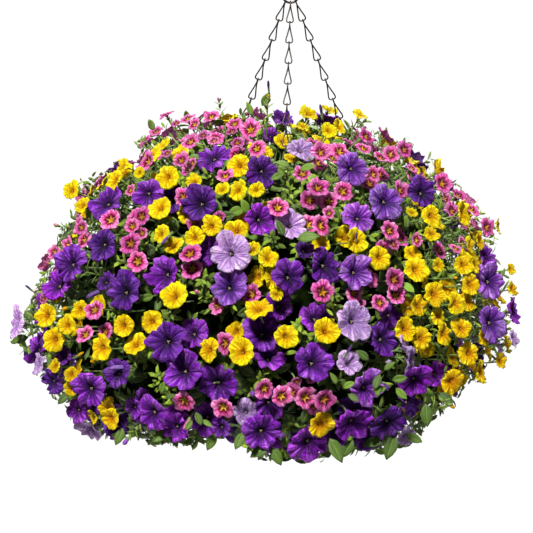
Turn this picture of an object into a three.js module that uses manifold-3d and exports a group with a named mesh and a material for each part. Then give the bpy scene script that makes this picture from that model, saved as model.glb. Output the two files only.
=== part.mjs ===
// Mixed hanging basket: petunias and calibrachoas in a plastic pot on three wire chains.
// Millimetres, +Z up. The origin is the hang point, where the hook bears on its bracket.
// The front of the basket faces -Y.
import * as THREE from 'three';
import { mergeVertices } from 'three/addons/utils/BufferGeometryUtils.js';
import Module from 'manifold-3d';

const wasm = await Module();
wasm.setup();

// ---------------------------------------------------------------- driving dimensions, mm
const TOUCH = 0.3;                       // gap between pieces that touch

const RIM_Z = -390;                      // top of the pot's rim
const POT_HEIGHT = 150;
const POT_BASE_RADIUS = 104;
const POT_WALL = 2.4;
const POT_NECK_RADIUS = 140;             // outside of the wall just under the rim flange
const RIM_RADIUS = 156;
const RIM_THICK = 3;
const POT_SIDES = 24;
const SOIL_TOP_Z = RIM_Z - 12;
const DRAIN_RADIUS = 6;
const DRAIN_CIRCLE = 60;

const CHAIN_AZIMUTHS = { left: 145, front: 265, right: 25 };   // degrees round the rim
const LUG_RADIUS = 148;                  // where a chain's clip drops through the rim
const LUG_HOLE = 7;
const EYE_Z = -60;                       // lowest wire of the eye that carries the chains
const EYE_RADIUS = 11;
const EYE_WIRE = 1.6;
const HOOK_RADIUS = 19;
const HOOK_WIRE = 2.2;
const LINK_PITCH = 29;
const LINK_COUNT = 8;
const LINK_WIRE = 1;
const CHAIN_CLEAR = 9;                   // half width of the way kept free along each chain

const MOUND_X = -35;                     // the mound leans to the left of the pot's axis
const MOUND_WAIST_Z = -495;
const MOUND = { radius: 345, up: 290, down: 190, power: 2.2 };
const CORE = { radius: 268, up: 196, down: 135, power: 2.2 };
const CORE_SIDES = 18;
const CORE_STEPS = 10;
const CORE_CAVITY_RADIUS = 166;
const STEM_RADIUS = 6;                   // woody stems that stand in the soil
const STEM_DEPTH = 45;
const STEM_SPOTS = [[0, 0], [70, 20], [-68, 28], [-30, -72], [42, -66]];

const PEDICEL = 1.3;
const STALK_RADIUS = 2.8;
const STALK_DEPTH = 26;                  // how deep a spray's stalk stands in the inner growth
const FORK_FIRST = 5;                    // height of a stalk's lowest pedicel
const FORK_STEP = 3.6;                   // and of each pedicel over the one below
const FORK_SLOTS = 9;                    // pedicels on one stalk at most
const PLAY = 0.9;                        // free space kept round pedicels and petals
const SET_BACK = 5;
const SET_BACK_STEPS = 9;

const PETUNIA = { diameter: 49, cup: 8, shell: 11 };
const KINDS = {
  purple: { ...PETUNIA, node: 'purple_petunia_spray', colour: 0x5a1f9e, sprays: 12 },
  violet: { ...PETUNIA, node: 'violet_petunia_spray', colour: 0x7a4fc0, sprays: 4 },
  lavender: { ...PETUNIA, node: 'lavender_petunia_spray', colour: 0xb79adf, sprays: 5 },
  yellow: { diameter: 33, cup: 6, shell: 7, node: 'yellow_calibrachoa_spray', colour: 0xffd400, sprays: 16 },
  pink: { diameter: 28, cup: 4, shell: 7, node: 'pink_calibrachoa_spray', colour: 0xf05cb0, sprays: 14 },
};

// ---------------------------------------------------------------- where the blooms show from the front
// Each bloom is [across, down, width, height, set back] in pixels of the front view, the last
// one in mm and only where a bloom stands behind the front chain.
const FRONT = { centre: [-32, 0, -416], distance: 2600, rise: 9, middle: 266.5, pixel: 1.3624 };
const SEEN = {
  purple: [
    [213, 156, 33, 21], [263, 170, 30, 32], [147, 192, 31, 30], [106, 202, 34, 27], [200, 203, 34, 35],
    [261, 219, 26, 32], [423, 192, 32, 31], [102, 244, 30, 32], [69, 264, 30, 37], [57, 284, 34, 26],
    [123, 292, 33, 37], [105, 281, 20, 14], [164, 274, 28, 36], [209, 250, 15, 28], [327, 265, 25, 38],
    [291, 277, 24, 34], [280, 306, 25, 28], [304, 250, 15, 12], [316, 317, 34, 25], [391, 315, 20, 25],
    [384, 339, 25, 34], [263, 333, 38, 34], [165, 341, 36, 42], [193, 333, 30, 27], [183, 371, 36, 38],
    [217, 385, 38, 36], [269, 356, 33, 15], [313, 362, 36, 32], [515, 311, 15, 29], [488, 256, 20, 24],
    [89, 390, 35, 35], [117, 373, 25, 28], [63, 355, 18, 18], [51, 382, 20, 26], [77, 411, 24, 24],
    [133, 408, 15, 20], [151, 414, 27, 36], [175, 428, 27, 30], [262, 433, 36, 36], [270, 404, 28, 30],
    [309, 444, 39, 36], [353, 424, 37, 27], [389, 424, 36, 28], [416, 381, 35, 30], [437, 374, 20, 25],
    [284, 118, 24, 20, 130], [271, 135, 14, 13, 120], [221, 428, 16, 17],
  ],
  violet: [
    [353, 167, 34, 33], [386, 200, 37, 34], [359, 217, 32, 28], [228, 287, 35, 33], [356, 272, 30, 33],
    [492, 281, 34, 38], [493, 322, 35, 37], [367, 389, 28, 36],
  ],
  lavender: [
    [301, 148, 30, 22], [229, 253, 37, 38], [291, 224, 31, 27], [15, 322, 19, 35], [37, 364, 12, 22],
    [89, 431, 28, 18], [245, 414, 27, 26], [349, 363, 24, 20], [355, 321, 33, 38], [406, 437, 18, 20],
    [514, 338, 12, 18],
  ],
  yellow: [
    [162, 145, 17, 8], [167, 176, 23, 23], [239, 165, 23, 23], [160, 207, 24, 18], [114, 180, 15, 22],
    [122, 166, 9, 16], [139, 172, 10, 10], [194, 181, 16, 14], [222, 189, 15, 10], [237, 190, 15, 20],
    [256, 189, 16, 14], [211, 226, 19, 20], [194, 237, 20, 18], [236, 230, 23, 20], [160, 234, 14, 18],
    [173, 245, 20, 12], [309, 113, 21, 18, 60], [329, 109, 18, 13, 60], [329, 130, 17, 17, 30],
    [340, 127, 12, 17, 30], [361, 114, 17, 12], [303, 126, 12, 9, 60], [283, 141, 16, 17, 110],
    [291, 158, 15, 8, 70], [269, 210, 21, 14], [71, 190, 20, 20], [82, 205, 17, 15], [432, 216, 21, 22],
    [432, 233, 16, 12], [464, 214, 20, 34], [499, 227, 8, 16], [480, 241, 10, 19], [471, 246, 8, 18],
    [413, 253, 19, 12], [416, 269, 24, 22], [380, 257, 23, 23], [439, 265, 13, 14], [464, 264, 20, 18],
    [476, 264, 10, 16], [511, 269, 9, 10], [471, 284, 20, 21], [513, 289, 12, 15], [435, 294, 21, 24],
    [457, 303, 19, 22], [469, 301, 12, 20], [409, 307, 17, 19], [419, 306, 16, 20], [439, 316, 14, 17],
    [462, 328, 21, 19], [445, 334, 14, 22], [406, 329, 20, 23], [422, 338, 21, 22], [485, 337, 14, 17],
    [470, 353, 22, 23], [508, 344, 8, 19], [501, 361, 13, 16], [482, 372, 12, 24], [453, 382, 25, 26],
    [46, 315, 23, 23], [54, 339, 24, 24], [67, 325, 20, 20], [79, 309, 17, 19], [57, 297, 13, 9],
    [123, 325, 21, 21], [101, 347, 20, 24], [135, 344, 23, 15], [55, 366, 12, 14], [71, 374, 15, 15],
    [71, 389, 15, 15], [110, 419, 19, 21], [93, 417, 8, 14], [174, 296, 27, 24], [253, 249, 14, 12],
    [268, 258, 19, 15], [257, 276, 13, 21], [275, 278, 18, 22], [277, 294, 13, 11], [258, 308, 25, 10],
    [236, 331, 16, 18], [241, 352, 23, 27], [208, 350, 15, 22], [286, 336, 22, 22], [326, 331, 25, 22],
    [322, 244, 18, 13], [357, 240, 18, 24], [321, 425, 22, 24], [412, 212, 12, 8],
  ],
  pink: [
    [166, 114, 17, 9], [187, 118, 18, 13], [194, 124, 12, 14], [176, 123, 10, 9], [211, 116, 18, 14],
    [234, 123, 17, 13], [250, 129, 21, 22], [156, 131, 15, 10], [190, 141, 18, 14], [232, 131, 12, 9],
    [237, 142, 14, 12], [203, 135, 11, 10], [214, 140, 12, 8], [256, 148, 16, 18], [147, 161, 15, 24],
    [181, 160, 17, 14], [192, 163, 8, 12], [167, 153, 10, 8], [182, 197, 14, 19], [110, 219, 23, 20],
    [141, 216, 18, 18], [132, 226, 15, 15], [194, 222, 17, 17], [219, 217, 12, 12], [225, 175, 18, 8],
    [130, 190, 9, 12], [321, 152, 18, 19], [340, 151, 20, 19], [367, 136, 14, 18], [391, 154, 18, 18],
    [381, 157, 16, 9], [405, 149, 18, 19], [374, 174, 13, 17], [318, 187, 24, 16], [310, 200, 20, 20],
    [343, 191, 20, 20], [278, 207, 20, 18], [329, 213, 12, 12], [322, 225, 14, 26], [443, 183, 22, 23],
    [459, 195, 18, 11], [472, 209, 20, 12], [401, 190, 14, 18], [412, 168, 12, 8], [488, 227, 18, 20],
    [390, 230, 16, 20], [394, 244, 12, 8], [417, 240, 12, 14], [395, 279, 20, 22], [396, 295, 20, 16],
    [380, 302, 17, 14], [456, 248, 14, 6], [81, 227, 15, 15], [54, 252, 14, 15], [130, 243, 21, 20],
    [137, 261, 21, 21], [142, 233, 12, 12], [43, 299, 10, 9], [94, 309, 20, 15], [85, 334, 19, 13],
    [105, 331, 16, 15], [189, 253, 24, 15], [192, 268, 25, 20], [251, 294, 12, 21], [217, 305, 11, 18],
    [371, 279, 12, 17], [323, 292, 22, 22], [354, 293, 17, 17], [359, 303, 14, 10], [224, 343, 17, 28],
    [184, 402, 22, 17], [223, 408, 24, 20], [265, 389, 17, 19], [282, 397, 19, 20], [306, 398, 20, 24],
    [325, 400, 20, 22], [297, 382, 10, 9], [311, 378, 10, 10],
  ],
};
// Round the back the blooms follow an even spiral, with their kinds drawn by these shares.
const BACK_SPIRAL = 110;
const BACK_SHARES = { purple: 0.24, violet: 0.07, lavender: 0.08, yellow: 0.33, pink: 0.28 };
const BACK_TOP = 0.93;                   // sines of the elevations that the spiral runs between
const BACK_SPAN = 1.5;
const BACK_EDGE = 0.08;                  // how far from the view a place must face to be behind
const BACK_SIZES = [0.8, 1.05];          // least and greatest bloom there, in sizes of its kind

// ---------------------------------------------------------------- small tools
const Z_AXIS = new THREE.Vector3(0, 0, 1);
const X_AXIS = new THREE.Vector3(1, 0, 0);
const GOLDEN_ANGLE = Math.PI * (3 - Math.sqrt(5));
const vec = (x, y, z) => new THREE.Vector3(x, y, z);
const along = (from, direction, distance) => from.clone().addScaledVector(direction, distance);

// Seeded draws from 0 to 1, the same on every run.
function draws(seed) {
  let state = seed;
  return () => {
    state = (state * 16807) % 2147483647;
    return state / 2147483647;
  };
}

// Two unit directions square to an axis and to each other.
function squareTo(axis) {
  const other = Math.abs(axis.z) < 0.9 ? Z_AXIS : X_AXIS;
  const u = new THREE.Vector3().crossVectors(other, axis).normalize();
  return { u, v: new THREE.Vector3().crossVectors(axis, u) };
}

// Points of a ring round an axis; radii repeat along it, and the first point lies towards start.
function ring(centre, axis, radii, count, start = squareTo(axis).u) {
  const side = new THREE.Vector3().crossVectors(axis, start);
  return Array.from({ length: count }, (_, i) => {
    const angle = (2 * Math.PI * i) / count;
    const radius = radii[i % radii.length];
    return along(along(centre, start, radius * Math.cos(angle)), side, radius * Math.sin(angle));
  });
}

// A closed shape of triangles, turned so that they face out.
function facedOut(points, triangles) {
  let volume = 0;
  for (let t = 0; t < triangles.length; t += 3) {
    const [a, b, c] = [0, 1, 2].map((k) => points[triangles[t + k]]);
    volume += a.dot(new THREE.Vector3().crossVectors(b, c));
  }
  const geometry = new THREE.BufferGeometry().setFromPoints(points);
  geometry.setIndex(volume > 0 ? triangles : triangles.reverse());
  return geometry;
}

// A closed solid through rings of points, where a ring of one point closes an end.
function loft(rings) {
  const points = rings.flat();
  const triangles = [];
  let start = 0;
  for (let r = 0; r + 1 < rings.length; r++) {
    const next = start + rings[r].length;
    const steps = [rings[r], rings[r + 1]].map((each) => (each.length > 1 ? each.length : 0));
    let i = 0;
    let j = 0;
    while (i < steps[0] || j < steps[1]) {
      const a = start + (i % rings[r].length);
      const b = next + (j % rings[r + 1].length);
      const aFirst = j >= steps[1] || (i < steps[0] && (i + 1) / steps[0] <= (j + 1) / steps[1]);
      if (aFirst) {
        triangles.push(a, start + ((i + 1) % rings[r].length), b);
        i += 1;
      } else {
        triangles.push(a, next + ((j + 1) % rings[r + 1].length), b);
        j += 1;
      }
    }
    start = next;
  }
  return facedOut(points, triangles);
}

function solidOf(geometry) {
  const bare = geometry.clone();
  bare.deleteAttribute('normal');
  bare.deleteAttribute('uv');
  const merged = mergeVertices(bare, 1e-4);
  const vertProperties = new Float32Array(merged.attributes.position.array);
  const triVerts = new Uint32Array(merged.index.array);
  return new wasm.Manifold(new wasm.Mesh({ numProp: 3, vertProperties, triVerts }));
}

function geometryOf(solid) {
  const mesh = solid.getMesh();
  const geometry = new THREE.BufferGeometry();
  geometry.setAttribute('position', new THREE.BufferAttribute(mesh.vertProperties, 3));
  geometry.setIndex(new THREE.BufferAttribute(mesh.triVerts, 1));
  return geometry;
}

const joined = (geometries) => geometries.map(solidOf).reduce((whole, each) => whole.add(each));
const cutFrom = (solid, cuts) => cuts.map(solidOf).reduce((rest, cut) => rest.subtract(cut), solid);

// A straight square or round bar between two points.
function bar(from, to, radius, sides) {
  const axis = to.clone().sub(from).normalize();
  return loft([[from], ring(from, axis, [radius], sides), ring(to, axis, [radius], sides), [to]]);
}

// A six-sided bar standing between two heights.
const upright = (x, y, low, high, radius) => bar(vec(x, y, low), vec(x, y, high), radius, 6);

// A lathe solid of the given [radius, height] outline, standing along Z.
function turned(outline, sides, x = 0) {
  const points = outline.map(([radius, z]) => new THREE.Vector2(radius, z));
  return new THREE.LatheGeometry(points, sides).rotateX(Math.PI / 2).translate(x, 0, 0);
}

// ---------------------------------------------------------------- the mound's shape
// Below 0 inside a rounded body about the mound's axis, above 0 outside it.
function levelIn(body, point) {
  const rise = point.z - MOUND_WAIST_Z;
  const height = rise > 0 ? body.up : body.down;
  const out = Math.hypot(point.x - MOUND_X, point.y) / body.radius;
  return out ** body.power + (Math.abs(rise) / height) ** body.power - 1;
}

// The point of a rounded body in a direction from its middle.
function pointOn(body, azimuth, elevation) {
  const out = Math.cos(elevation);
  const rise = Math.sin(elevation);
  const height = rise > 0 ? body.up : body.down;
  const level = (out / body.radius) ** body.power + (Math.abs(rise) / height) ** body.power;
  const reach = level ** (-1 / body.power);
  const middle = vec(MOUND_X, 0, MOUND_WAIST_Z);
  return along(middle, vec(out * Math.cos(azimuth), out * Math.sin(azimuth), rise), reach);
}

// The way out of the growth at a point: straight away from the middle of the mound.
const AXIS_TOP = -360;
const AXIS_LOW = -530;
function outward(point) {
  const z = Math.min(AXIS_TOP, Math.max(AXIS_LOW, point.z));
  return point.clone().sub(vec(MOUND_X, 0, z)).normalize();
}

// Where a line from an outer point towards the middle enters the inner growth. What lies
// under the skirt of the growth hangs from its lower edge.
const SKIRT_Z = -560;
function footUnder(point) {
  const inward = outward(vec(point.x, point.y, Math.max(SKIRT_Z, point.z))).negate();
  const start = along(vec(point.x, point.y, Math.max(SKIRT_Z, point.z)), inward, -MOUND.radius);
  let distance = 0;
  while (levelIn(CORE, along(start, inward, distance)) > 0) distance += 1;
  return along(start, inward, distance);
}

// ---------------------------------------------------------------- blooms: place and facing
const VIEW_ANGLE = THREE.MathUtils.degToRad(FRONT.rise);
const SIGHT = vec(0, Math.cos(VIEW_ANGLE), -Math.sin(VIEW_ANGLE));
const SIGHT_UP = vec(0, Math.sin(VIEW_ANGLE), Math.cos(VIEW_ANGLE));
const EYE_POINT = along(vec(...FRONT.centre), SIGHT, -FRONT.distance);
const SIGHT_NEAR = FRONT.distance - 460;
const SIGHT_FAR = FRONT.distance + 460;
const FACED = 0.8;                       // how much a bloom faces as its outline says
const OUT_FACED = 0.35;                  // and how much straight out of the mound
const MOUND_COLUMN = 260;                // pixel column of the mound's middle
const LOOK_DOWN = 380;                   // blooms below this pixel row face down, those above face up
const SEEN_FULL = 1.04;                  // even a bloom seen square on shows a little less than it is
const LEAST_AHEAD = 0.06;
const SIZE_SPAN = [0.5, 1.06];           // least and greatest size of a bloom, in sizes of its kind

// The line of sight of a pixel, and where it meets the mound, or passes nearest to it.
function seenOnMound(across, down) {
  const line = SIGHT.clone();
  line.addScaledVector(X_AXIS, ((across - FRONT.middle) * FRONT.pixel) / FRONT.distance);
  line.addScaledVector(SIGHT_UP, ((FRONT.middle - down) * FRONT.pixel) / FRONT.distance);
  let best = SIGHT_NEAR;
  for (let distance = SIGHT_NEAR; distance < SIGHT_FAR; distance += 1) {
    const level = levelIn(MOUND, along(EYE_POINT, line, distance));
    if (level < levelIn(MOUND, along(EYE_POINT, line, best))) best = distance;
    if (level < 0) break;
  }
  return { at: along(EYE_POINT, line, best), line: line.normalize() };
}

// A round bloom of a known width looks narrower or lower the more it turns away.
function facingFromOutline(across, down, width, height) {
  const full = Math.max(width, height) * SEEN_FULL;
  const side = Math.sqrt(1 - (width / full) ** 2) * Math.sign(across - MOUND_COLUMN);
  const lift = Math.sqrt(1 - (height / full) ** 2) * (down < LOOK_DOWN ? 1 : -1);
  const ahead = Math.sqrt(Math.max(LEAST_AHEAD, 1 - side * side - lift * lift));
  return along(along(SIGHT.clone().multiplyScalar(-ahead), X_AXIS, side), SIGHT_UP, lift);
}

function makeBloom(kind, at, facing, back, diameter) {
  const { cup, shell, diameter: full } = KINDS[kind];
  const scale = diameter / full;
  const depths = { cup: cup * scale, shell: shell * scale };
  return { kind, at, facing: facing.normalize(), back, radius: diameter / 2, ...depths };
}

function bloomsInFront() {
  return Object.entries(SEEN).flatMap(([kind, places]) => places.map((place) => {
    const [across, down, width, height, behind = 0] = place;
    const { at, line } = seenOnMound(across, down);
    const facing = facingFromOutline(across, down, width, height).multiplyScalar(FACED);
    facing.addScaledVector(outward(at), OUT_FACED);
    const [least, greatest] = SIZE_SPAN.map((size) => size * KINDS[kind].diameter);
    const diameter = Math.max(least, Math.min(greatest, Math.max(width, height) * FRONT.pixel));
    return makeBloom(kind, along(at, line, behind), facing, line, diameter);
  }));
}

// The kind that a draw from 0 to 1 falls on.
function kindOfShare(share) {
  const kinds = Object.keys(BACK_SHARES);
  let sum = 0;
  const passed = kinds.filter((kind) => {
    sum += BACK_SHARES[kind];
    return sum <= share;
  });
  return kinds[Math.min(passed.length, kinds.length - 1)];
}

function bloomsBehind() {
  const draw = draws(41);
  const blooms = [];
  for (let i = 0; i < BACK_SPIRAL; i++) {
    const elevation = Math.asin(BACK_TOP - (BACK_SPAN * (i + 0.5)) / BACK_SPIRAL);
    const at = pointOn(MOUND, i * GOLDEN_ANGLE, elevation);
    const out = outward(at);
    const [share, size, lean, turn] = [draw(), draw(), draw(), draw()];
    if (out.dot(SIGHT) < BACK_EDGE) continue;
    const kind = kindOfShare(share);
    const facing = along(out, Z_AXIS, 0.1 + 0.5 * lean);
    facing.addScaledVector(squareTo(out).u, 0.9 * (turn - 0.5));
    const diameter = KINDS[kind].diameter * THREE.MathUtils.lerp(...BACK_SIZES, size);
    blooms.push(makeBloom(kind, at, facing, out.clone().negate(), diameter));
  }
  return blooms;
}

// ---------------------------------------------------------------- keeping blooms and stems apart
// How far a point lies above a corolla's middle surface, or null where it is past its edge.
function overCorolla(bloom, point, margin) {
  const offset = point.clone().sub(bloom.at);
  const height = offset.dot(bloom.facing);
  const out = Math.sqrt(Math.max(0, offset.lengthSq() - height * height));
  if (out > bloom.radius + margin) return null;
  const inset = Math.max(0, 1 - out / bloom.radius);
  return { above: height + (bloom.cup + bloom.shell / 2) * inset, half: 0.3 + (bloom.shell / 2) * inset };
}

// A run of near points with the sphere that holds it.
function traced(points) {
  const { center, radius } = new THREE.Sphere().setFromPoints(points);
  return { points, centre: center, reach: radius };
}

// A path with points every few mm along a run of corners.
function stepped(corners, step = 3) {
  return traced(corners.slice(1).flatMap((corner, i) => {
    const count = Math.ceil(corner.distanceTo(corners[i]) / step);
    return Array.from({ length: count + 1 }, (_, k) => corners[i].clone().lerp(corner, k / count));
  }));
}

// A straight round stem as an obstacle.
function stemOf(from, to, radius, owner, spray = null) {
  const line = new THREE.Line3(from, to);
  const centre = from.clone().lerp(to, 0.5);
  return { line, centre, reach: line.distance() / 2 + radius, radius, owner, spray };
}

// Whether a path touches a corolla or passes through it.
function pathMeetsCorolla(path, bloom, margin) {
  if (path.centre.distanceTo(bloom.at) > path.reach + bloom.radius + bloom.cup + bloom.shell) return false;
  let before = 0;
  for (const point of path.points) {
    const over = overCorolla(bloom, point, margin);
    if (over && (Math.abs(over.above) < over.half + margin || over.above * before < 0)) return true;
    before = over ? over.above : 0;
  }
  return false;
}

const nearest = new THREE.Vector3();
function pathMeetsStem(path, stem, margin) {
  if (path.centre.distanceTo(stem.centre) > path.reach + stem.reach + margin) return false;
  return path.points.some((point) => {
    stem.line.closestPointToPoint(point, true, nearest);
    return nearest.distanceTo(point) < stem.radius + margin;
  });
}

const throatOf = (bloom) => along(bloom.at, bloom.facing, -bloom.cup);
const tubeEndOf = (bloom) => along(bloom.at, bloom.facing, -bloom.cup - bloom.shell);

// Rim and spokes of a bloom as paths.
function pathsOf(bloom) {
  const rim = ring(bloom.at, bloom.facing, [bloom.radius], 24);
  const throat = throatOf(bloom);
  const spokes = rim.filter((_, i) => i % 2 === 0).map((point) => stepped([throat, point]));
  return [traced([...rim, rim[0]]), ...spokes];
}

const TUBE_ROOM = 3;
const tubePathOf = (bloom) => stepped([throatOf(bloom), along(tubeEndOf(bloom), bloom.facing, -TUBE_ROOM)]);

function bloomsTouch(a, b) {
  const reach = a.radius + b.radius + a.cup + b.cup + Math.max(a.shell, b.shell);
  if (a.at.distanceTo(b.at) > reach) return false;
  return pathsOf(a).some((path) => pathMeetsCorolla(path, b, PLAY))
    || pathsOf(b).some((path) => pathMeetsCorolla(path, a, PLAY))
    || pathMeetsCorolla(tubePathOf(a), b, TUBE_ROOM) || pathMeetsCorolla(tubePathOf(b), a, TUBE_ROOM);
}

// Whole blooms stand in front. One that touches those before it is set back until it is clear.
function settle(blooms, chains) {
  const fullness = (bloom) => bloom.radius / KINDS[bloom.kind].diameter;
  const order = [...blooms].sort((a, b) => fullness(b) - fullness(a));
  const placed = [];
  for (const bloom of order) {
    const clear = () => !placed.some((other) => bloomsTouch(bloom, other))
      && !pathsOf(bloom).some((path) => chains.some((chain) => pathMeetsStem(path, chain, PLAY)));
    const home = bloom.at.clone();
    for (let step = 0; step <= SET_BACK_STEPS && !clear(); step++) {
      bloom.at.addScaledVector(bloom.back, SET_BACK);
    }
    if (!clear()) bloom.at.copy(home);
    bloom.crowded = !clear();
    placed.push(bloom);
  }
  return placed;
}

// ---------------------------------------------------------------- sprays: forks and pedicels
// The middles of groups of near blooms, started from the blooms that lie furthest apart.
function groupMiddles(blooms, count) {
  const middles = [blooms[0].at.clone()];
  const nearestMiddle = (point) => Math.min(...middles.map((middle) => middle.distanceTo(point)));
  while (middles.length < count) {
    const far = blooms.reduce((a, b) => (nearestMiddle(b.at) > nearestMiddle(a.at) ? b : a));
    middles.push(far.at.clone());
  }
  for (let round = 0; round < GROUPING_ROUNDS; round++) {
    const sums = middles.map(() => ({ total: vec(0, 0, 0), members: 0 }));
    for (const bloom of blooms) {
      const gaps = middles.map((middle) => middle.distanceTo(bloom.at));
      const sum = sums[gaps.indexOf(Math.min(...gaps))];
      sum.total.add(bloom.at);
      sum.members += 1;
    }
    sums.forEach((sum, i) => sum.members && middles[i].copy(sum.total.divideScalar(sum.members)));
  }
  return middles;
}

const FORK_APART = 15;
const FORK_TURN = 0.04;                  // radians round the mound for each try
const FORK_TURNS = 40;
const GROUPING_ROUNDS = 6;
// A fork stands on the inner growth under its group, turned aside where something is in its way.
function placeFork(middle, stems) {
  const axis = vec(MOUND_X, 0, 0);
  for (let turn = 0; turn < FORK_TURNS; turn++) {
    const angle = (turn % 2 ? 1 : -1) * FORK_TURN * turn;
    const foot = footUnder(axis.clone().add(middle.clone().sub(axis).applyAxisAngle(Z_AXIS, angle)));
    const up = outward(foot);
    const slots = Array.from({ length: FORK_SLOTS }, (_, k) => along(foot, up, FORK_FIRST + k * FORK_STEP));
    const fork = { slots, up, foot, low: along(foot, up, -STALK_DEPTH) };
    const path = stepped([slots.at(-1), fork.low]);
    if (!stems.some((stem) => pathMeetsStem(path, stem, FORK_APART))) return fork;
  }
  throw new Error('no place for a fork');
}

const KNEE_DROPS = [8, 22, 38, -4];
const KNEE_SIDES = [10, 22, 38, 54];
const KNEE_TURNS = 9;
const KNEE_LEG = 30;
const CORE_GRAZE = 0.012;                // how far pedicels stay over the inner growth
// How pedicels look for a fork, in the order tried: straight or bent, how many near forks, and
// whether crossing pedicels of the same spray, which they are one piece with.
const SEARCHES = [
  { bent: false, forks: 2, mayCross: false },
  { bent: true, forks: 5, mayCross: false },
  { bent: true, forks: 5, mayCross: true },
];
// The first corners of a bent way for a pedicel, over one knee or two.
function firstCorners(bloom, isFree) {
  const start = tubeEndOf(bloom);
  const inward = outward(start).negate();
  const { u, v } = squareTo(inward);
  const ways = [];
  for (const drop of KNEE_DROPS) {
    for (const side of KNEE_SIDES) {
      for (let k = 0; k < KNEE_TURNS; k++) {
        const angle = (2 * Math.PI * k) / KNEE_TURNS;
        const knee = along(start, inward, drop);
        knee.addScaledVector(u, side * Math.cos(angle)).addScaledVector(v, side * Math.sin(angle));
        if (!isFree([start, knee])) continue;
        ways.push([start, knee]);
        const second = along(knee, inward, KNEE_LEG);
        if (isFree([knee, second])) ways.push([start, knee, second]);
      }
    }
  }
  return ways;
}

// Leads a bloom's pedicel to a free slot of a near fork of its kind.
function joinNearFork(bloom, sprays, blooms, stems) {
  const isFree = (corners, passes = () => false) => {
    const path = stepped(corners);
    return path.points.every((point) => levelIn(CORE, point) > CORE_GRAZE)
      && !blooms.some((other) => other !== bloom && pathMeetsCorolla(path, other, PEDICEL + PLAY))
      && !stems.some((stem) => !passes(stem) && pathMeetsStem(path, stem, PEDICEL + PLAY));
  };
  const reach = (spray) => spray.fork.slots[0].distanceTo(bloom.at);
  const near = sprays.filter((spray) => spray.kind === bloom.kind && spray.fork.slots.length);
  near.sort((a, b) => reach(a) - reach(b));
  const starts = [[tubeEndOf(bloom)]];
  let way = null;
  for (const { bent, forks, mayCross } of SEARCHES) {
    if (bent && starts.length === 1) starts.push(...firstCorners(bloom, isFree));
    for (const spray of near.slice(0, forks)) {
      const passes = (stem) => (mayCross ? stem.spray : stem.owner) === spray;
      const slot = spray.fork.slots.findLast((goal) => {
        const start = starts.find((corners) => isFree([corners.at(-1), goal], passes));
        way = start && [...start, goal];
        return way;
      });
      if (!slot) continue;
      spray.fork.slots.splice(spray.fork.slots.indexOf(slot), 1);
      spray.fork.top = Math.max(spray.fork.top ?? 0, slot.distanceTo(spray.fork.foot));
      spray.members.push(bloom);
      bloom.way = way;
      way.slice(1).forEach((to, i) => stems.push(stemOf(way[i], to, PEDICEL, bloom, spray)));
      return true;
    }
  }
  return false;
}

function growForks(blooms, stems) {
  const sprays = [];
  for (const [kind, { node, sprays: count }] of Object.entries(KINDS)) {
    const own = blooms.filter((bloom) => bloom.kind === kind);
    groupMiddles(own, count).forEach((middle, i) => {
      const fork = placeFork(middle, stems);
      const spray = { name: `${node}_${String(i + 1).padStart(2, '0')}`, kind, fork, members: [] };
      stems.push(stemOf(fork.slots.at(-1), fork.low, STALK_RADIUS, spray, spray));
      sprays.push(spray);
    });
  }
  return sprays;
}

// Blooms join in turn. One that the others have shut in joins before them in the next round.
const ROUNDS = 12;
function growSprays(blooms, chains) {
  const order = [...blooms];
  for (let round = 0; round < ROUNDS; round++) {
    const stems = [...chains];
    const sprays = growForks(blooms, stems);
    const shutIn = order.find((bloom) => !joinNearFork(bloom, sprays, blooms, stems));
    if (!shutIn) return { sprays, stems };
    order.unshift(...order.splice(order.indexOf(shutIn), 1));
  }
  throw new Error('a bloom has no free way to a fork');
}

// ---------------------------------------------------------------- the solids of a spray
const SMALL_BLOOM = 36;                  // blooms under this width have five plain petals
const NOTCH = 0.8;                       // how far the rim comes in between two petals
const COLLAR = 2;

// The start of each ring is carried along the pedicel, so that its sides don't twist.
function bloomSolid(bloom, spin) {
  const { at, facing, radius, way } = bloom;
  const start = squareTo(facing).u.applyAxisAngle(facing, spin);
  const radii = radius * 2 < SMALL_BLOOM ? [radius] : [radius, radius * NOTCH];
  const rings = [[throatOf(bloom)], ring(at, facing, radii, 5 * radii.length, start)];
  for (let i = 0; i < way.length; i++) {
    const before = way[i - 1] ?? throatOf(bloom);
    const after = way[i + 1] ?? way[i];
    const axis = before.clone().sub(after).normalize();
    start.addScaledVector(axis, -start.dot(axis)).normalize();
    rings.push(ring(way[i], axis, [i ? PEDICEL : COLLAR], 3, start));
  }
  rings.push([way.at(-1)]);
  return loft(rings);
}

function forkSolid({ foot, top, up, low }) {
  const end = along(foot, up, top);
  const tip = along(end, up, STALK_RADIUS);
  return loft([[tip], ring(end, up, [STALK_RADIUS], 3), ring(low, up, [STALK_RADIUS], 3), [low]]);
}

function spraySolid(spray) {
  const blooms = spray.members.map((bloom, i) => bloomSolid(bloom, i * GOLDEN_ANGLE));
  return joined([forkSolid(spray.fork), ...blooms]);
}

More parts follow.
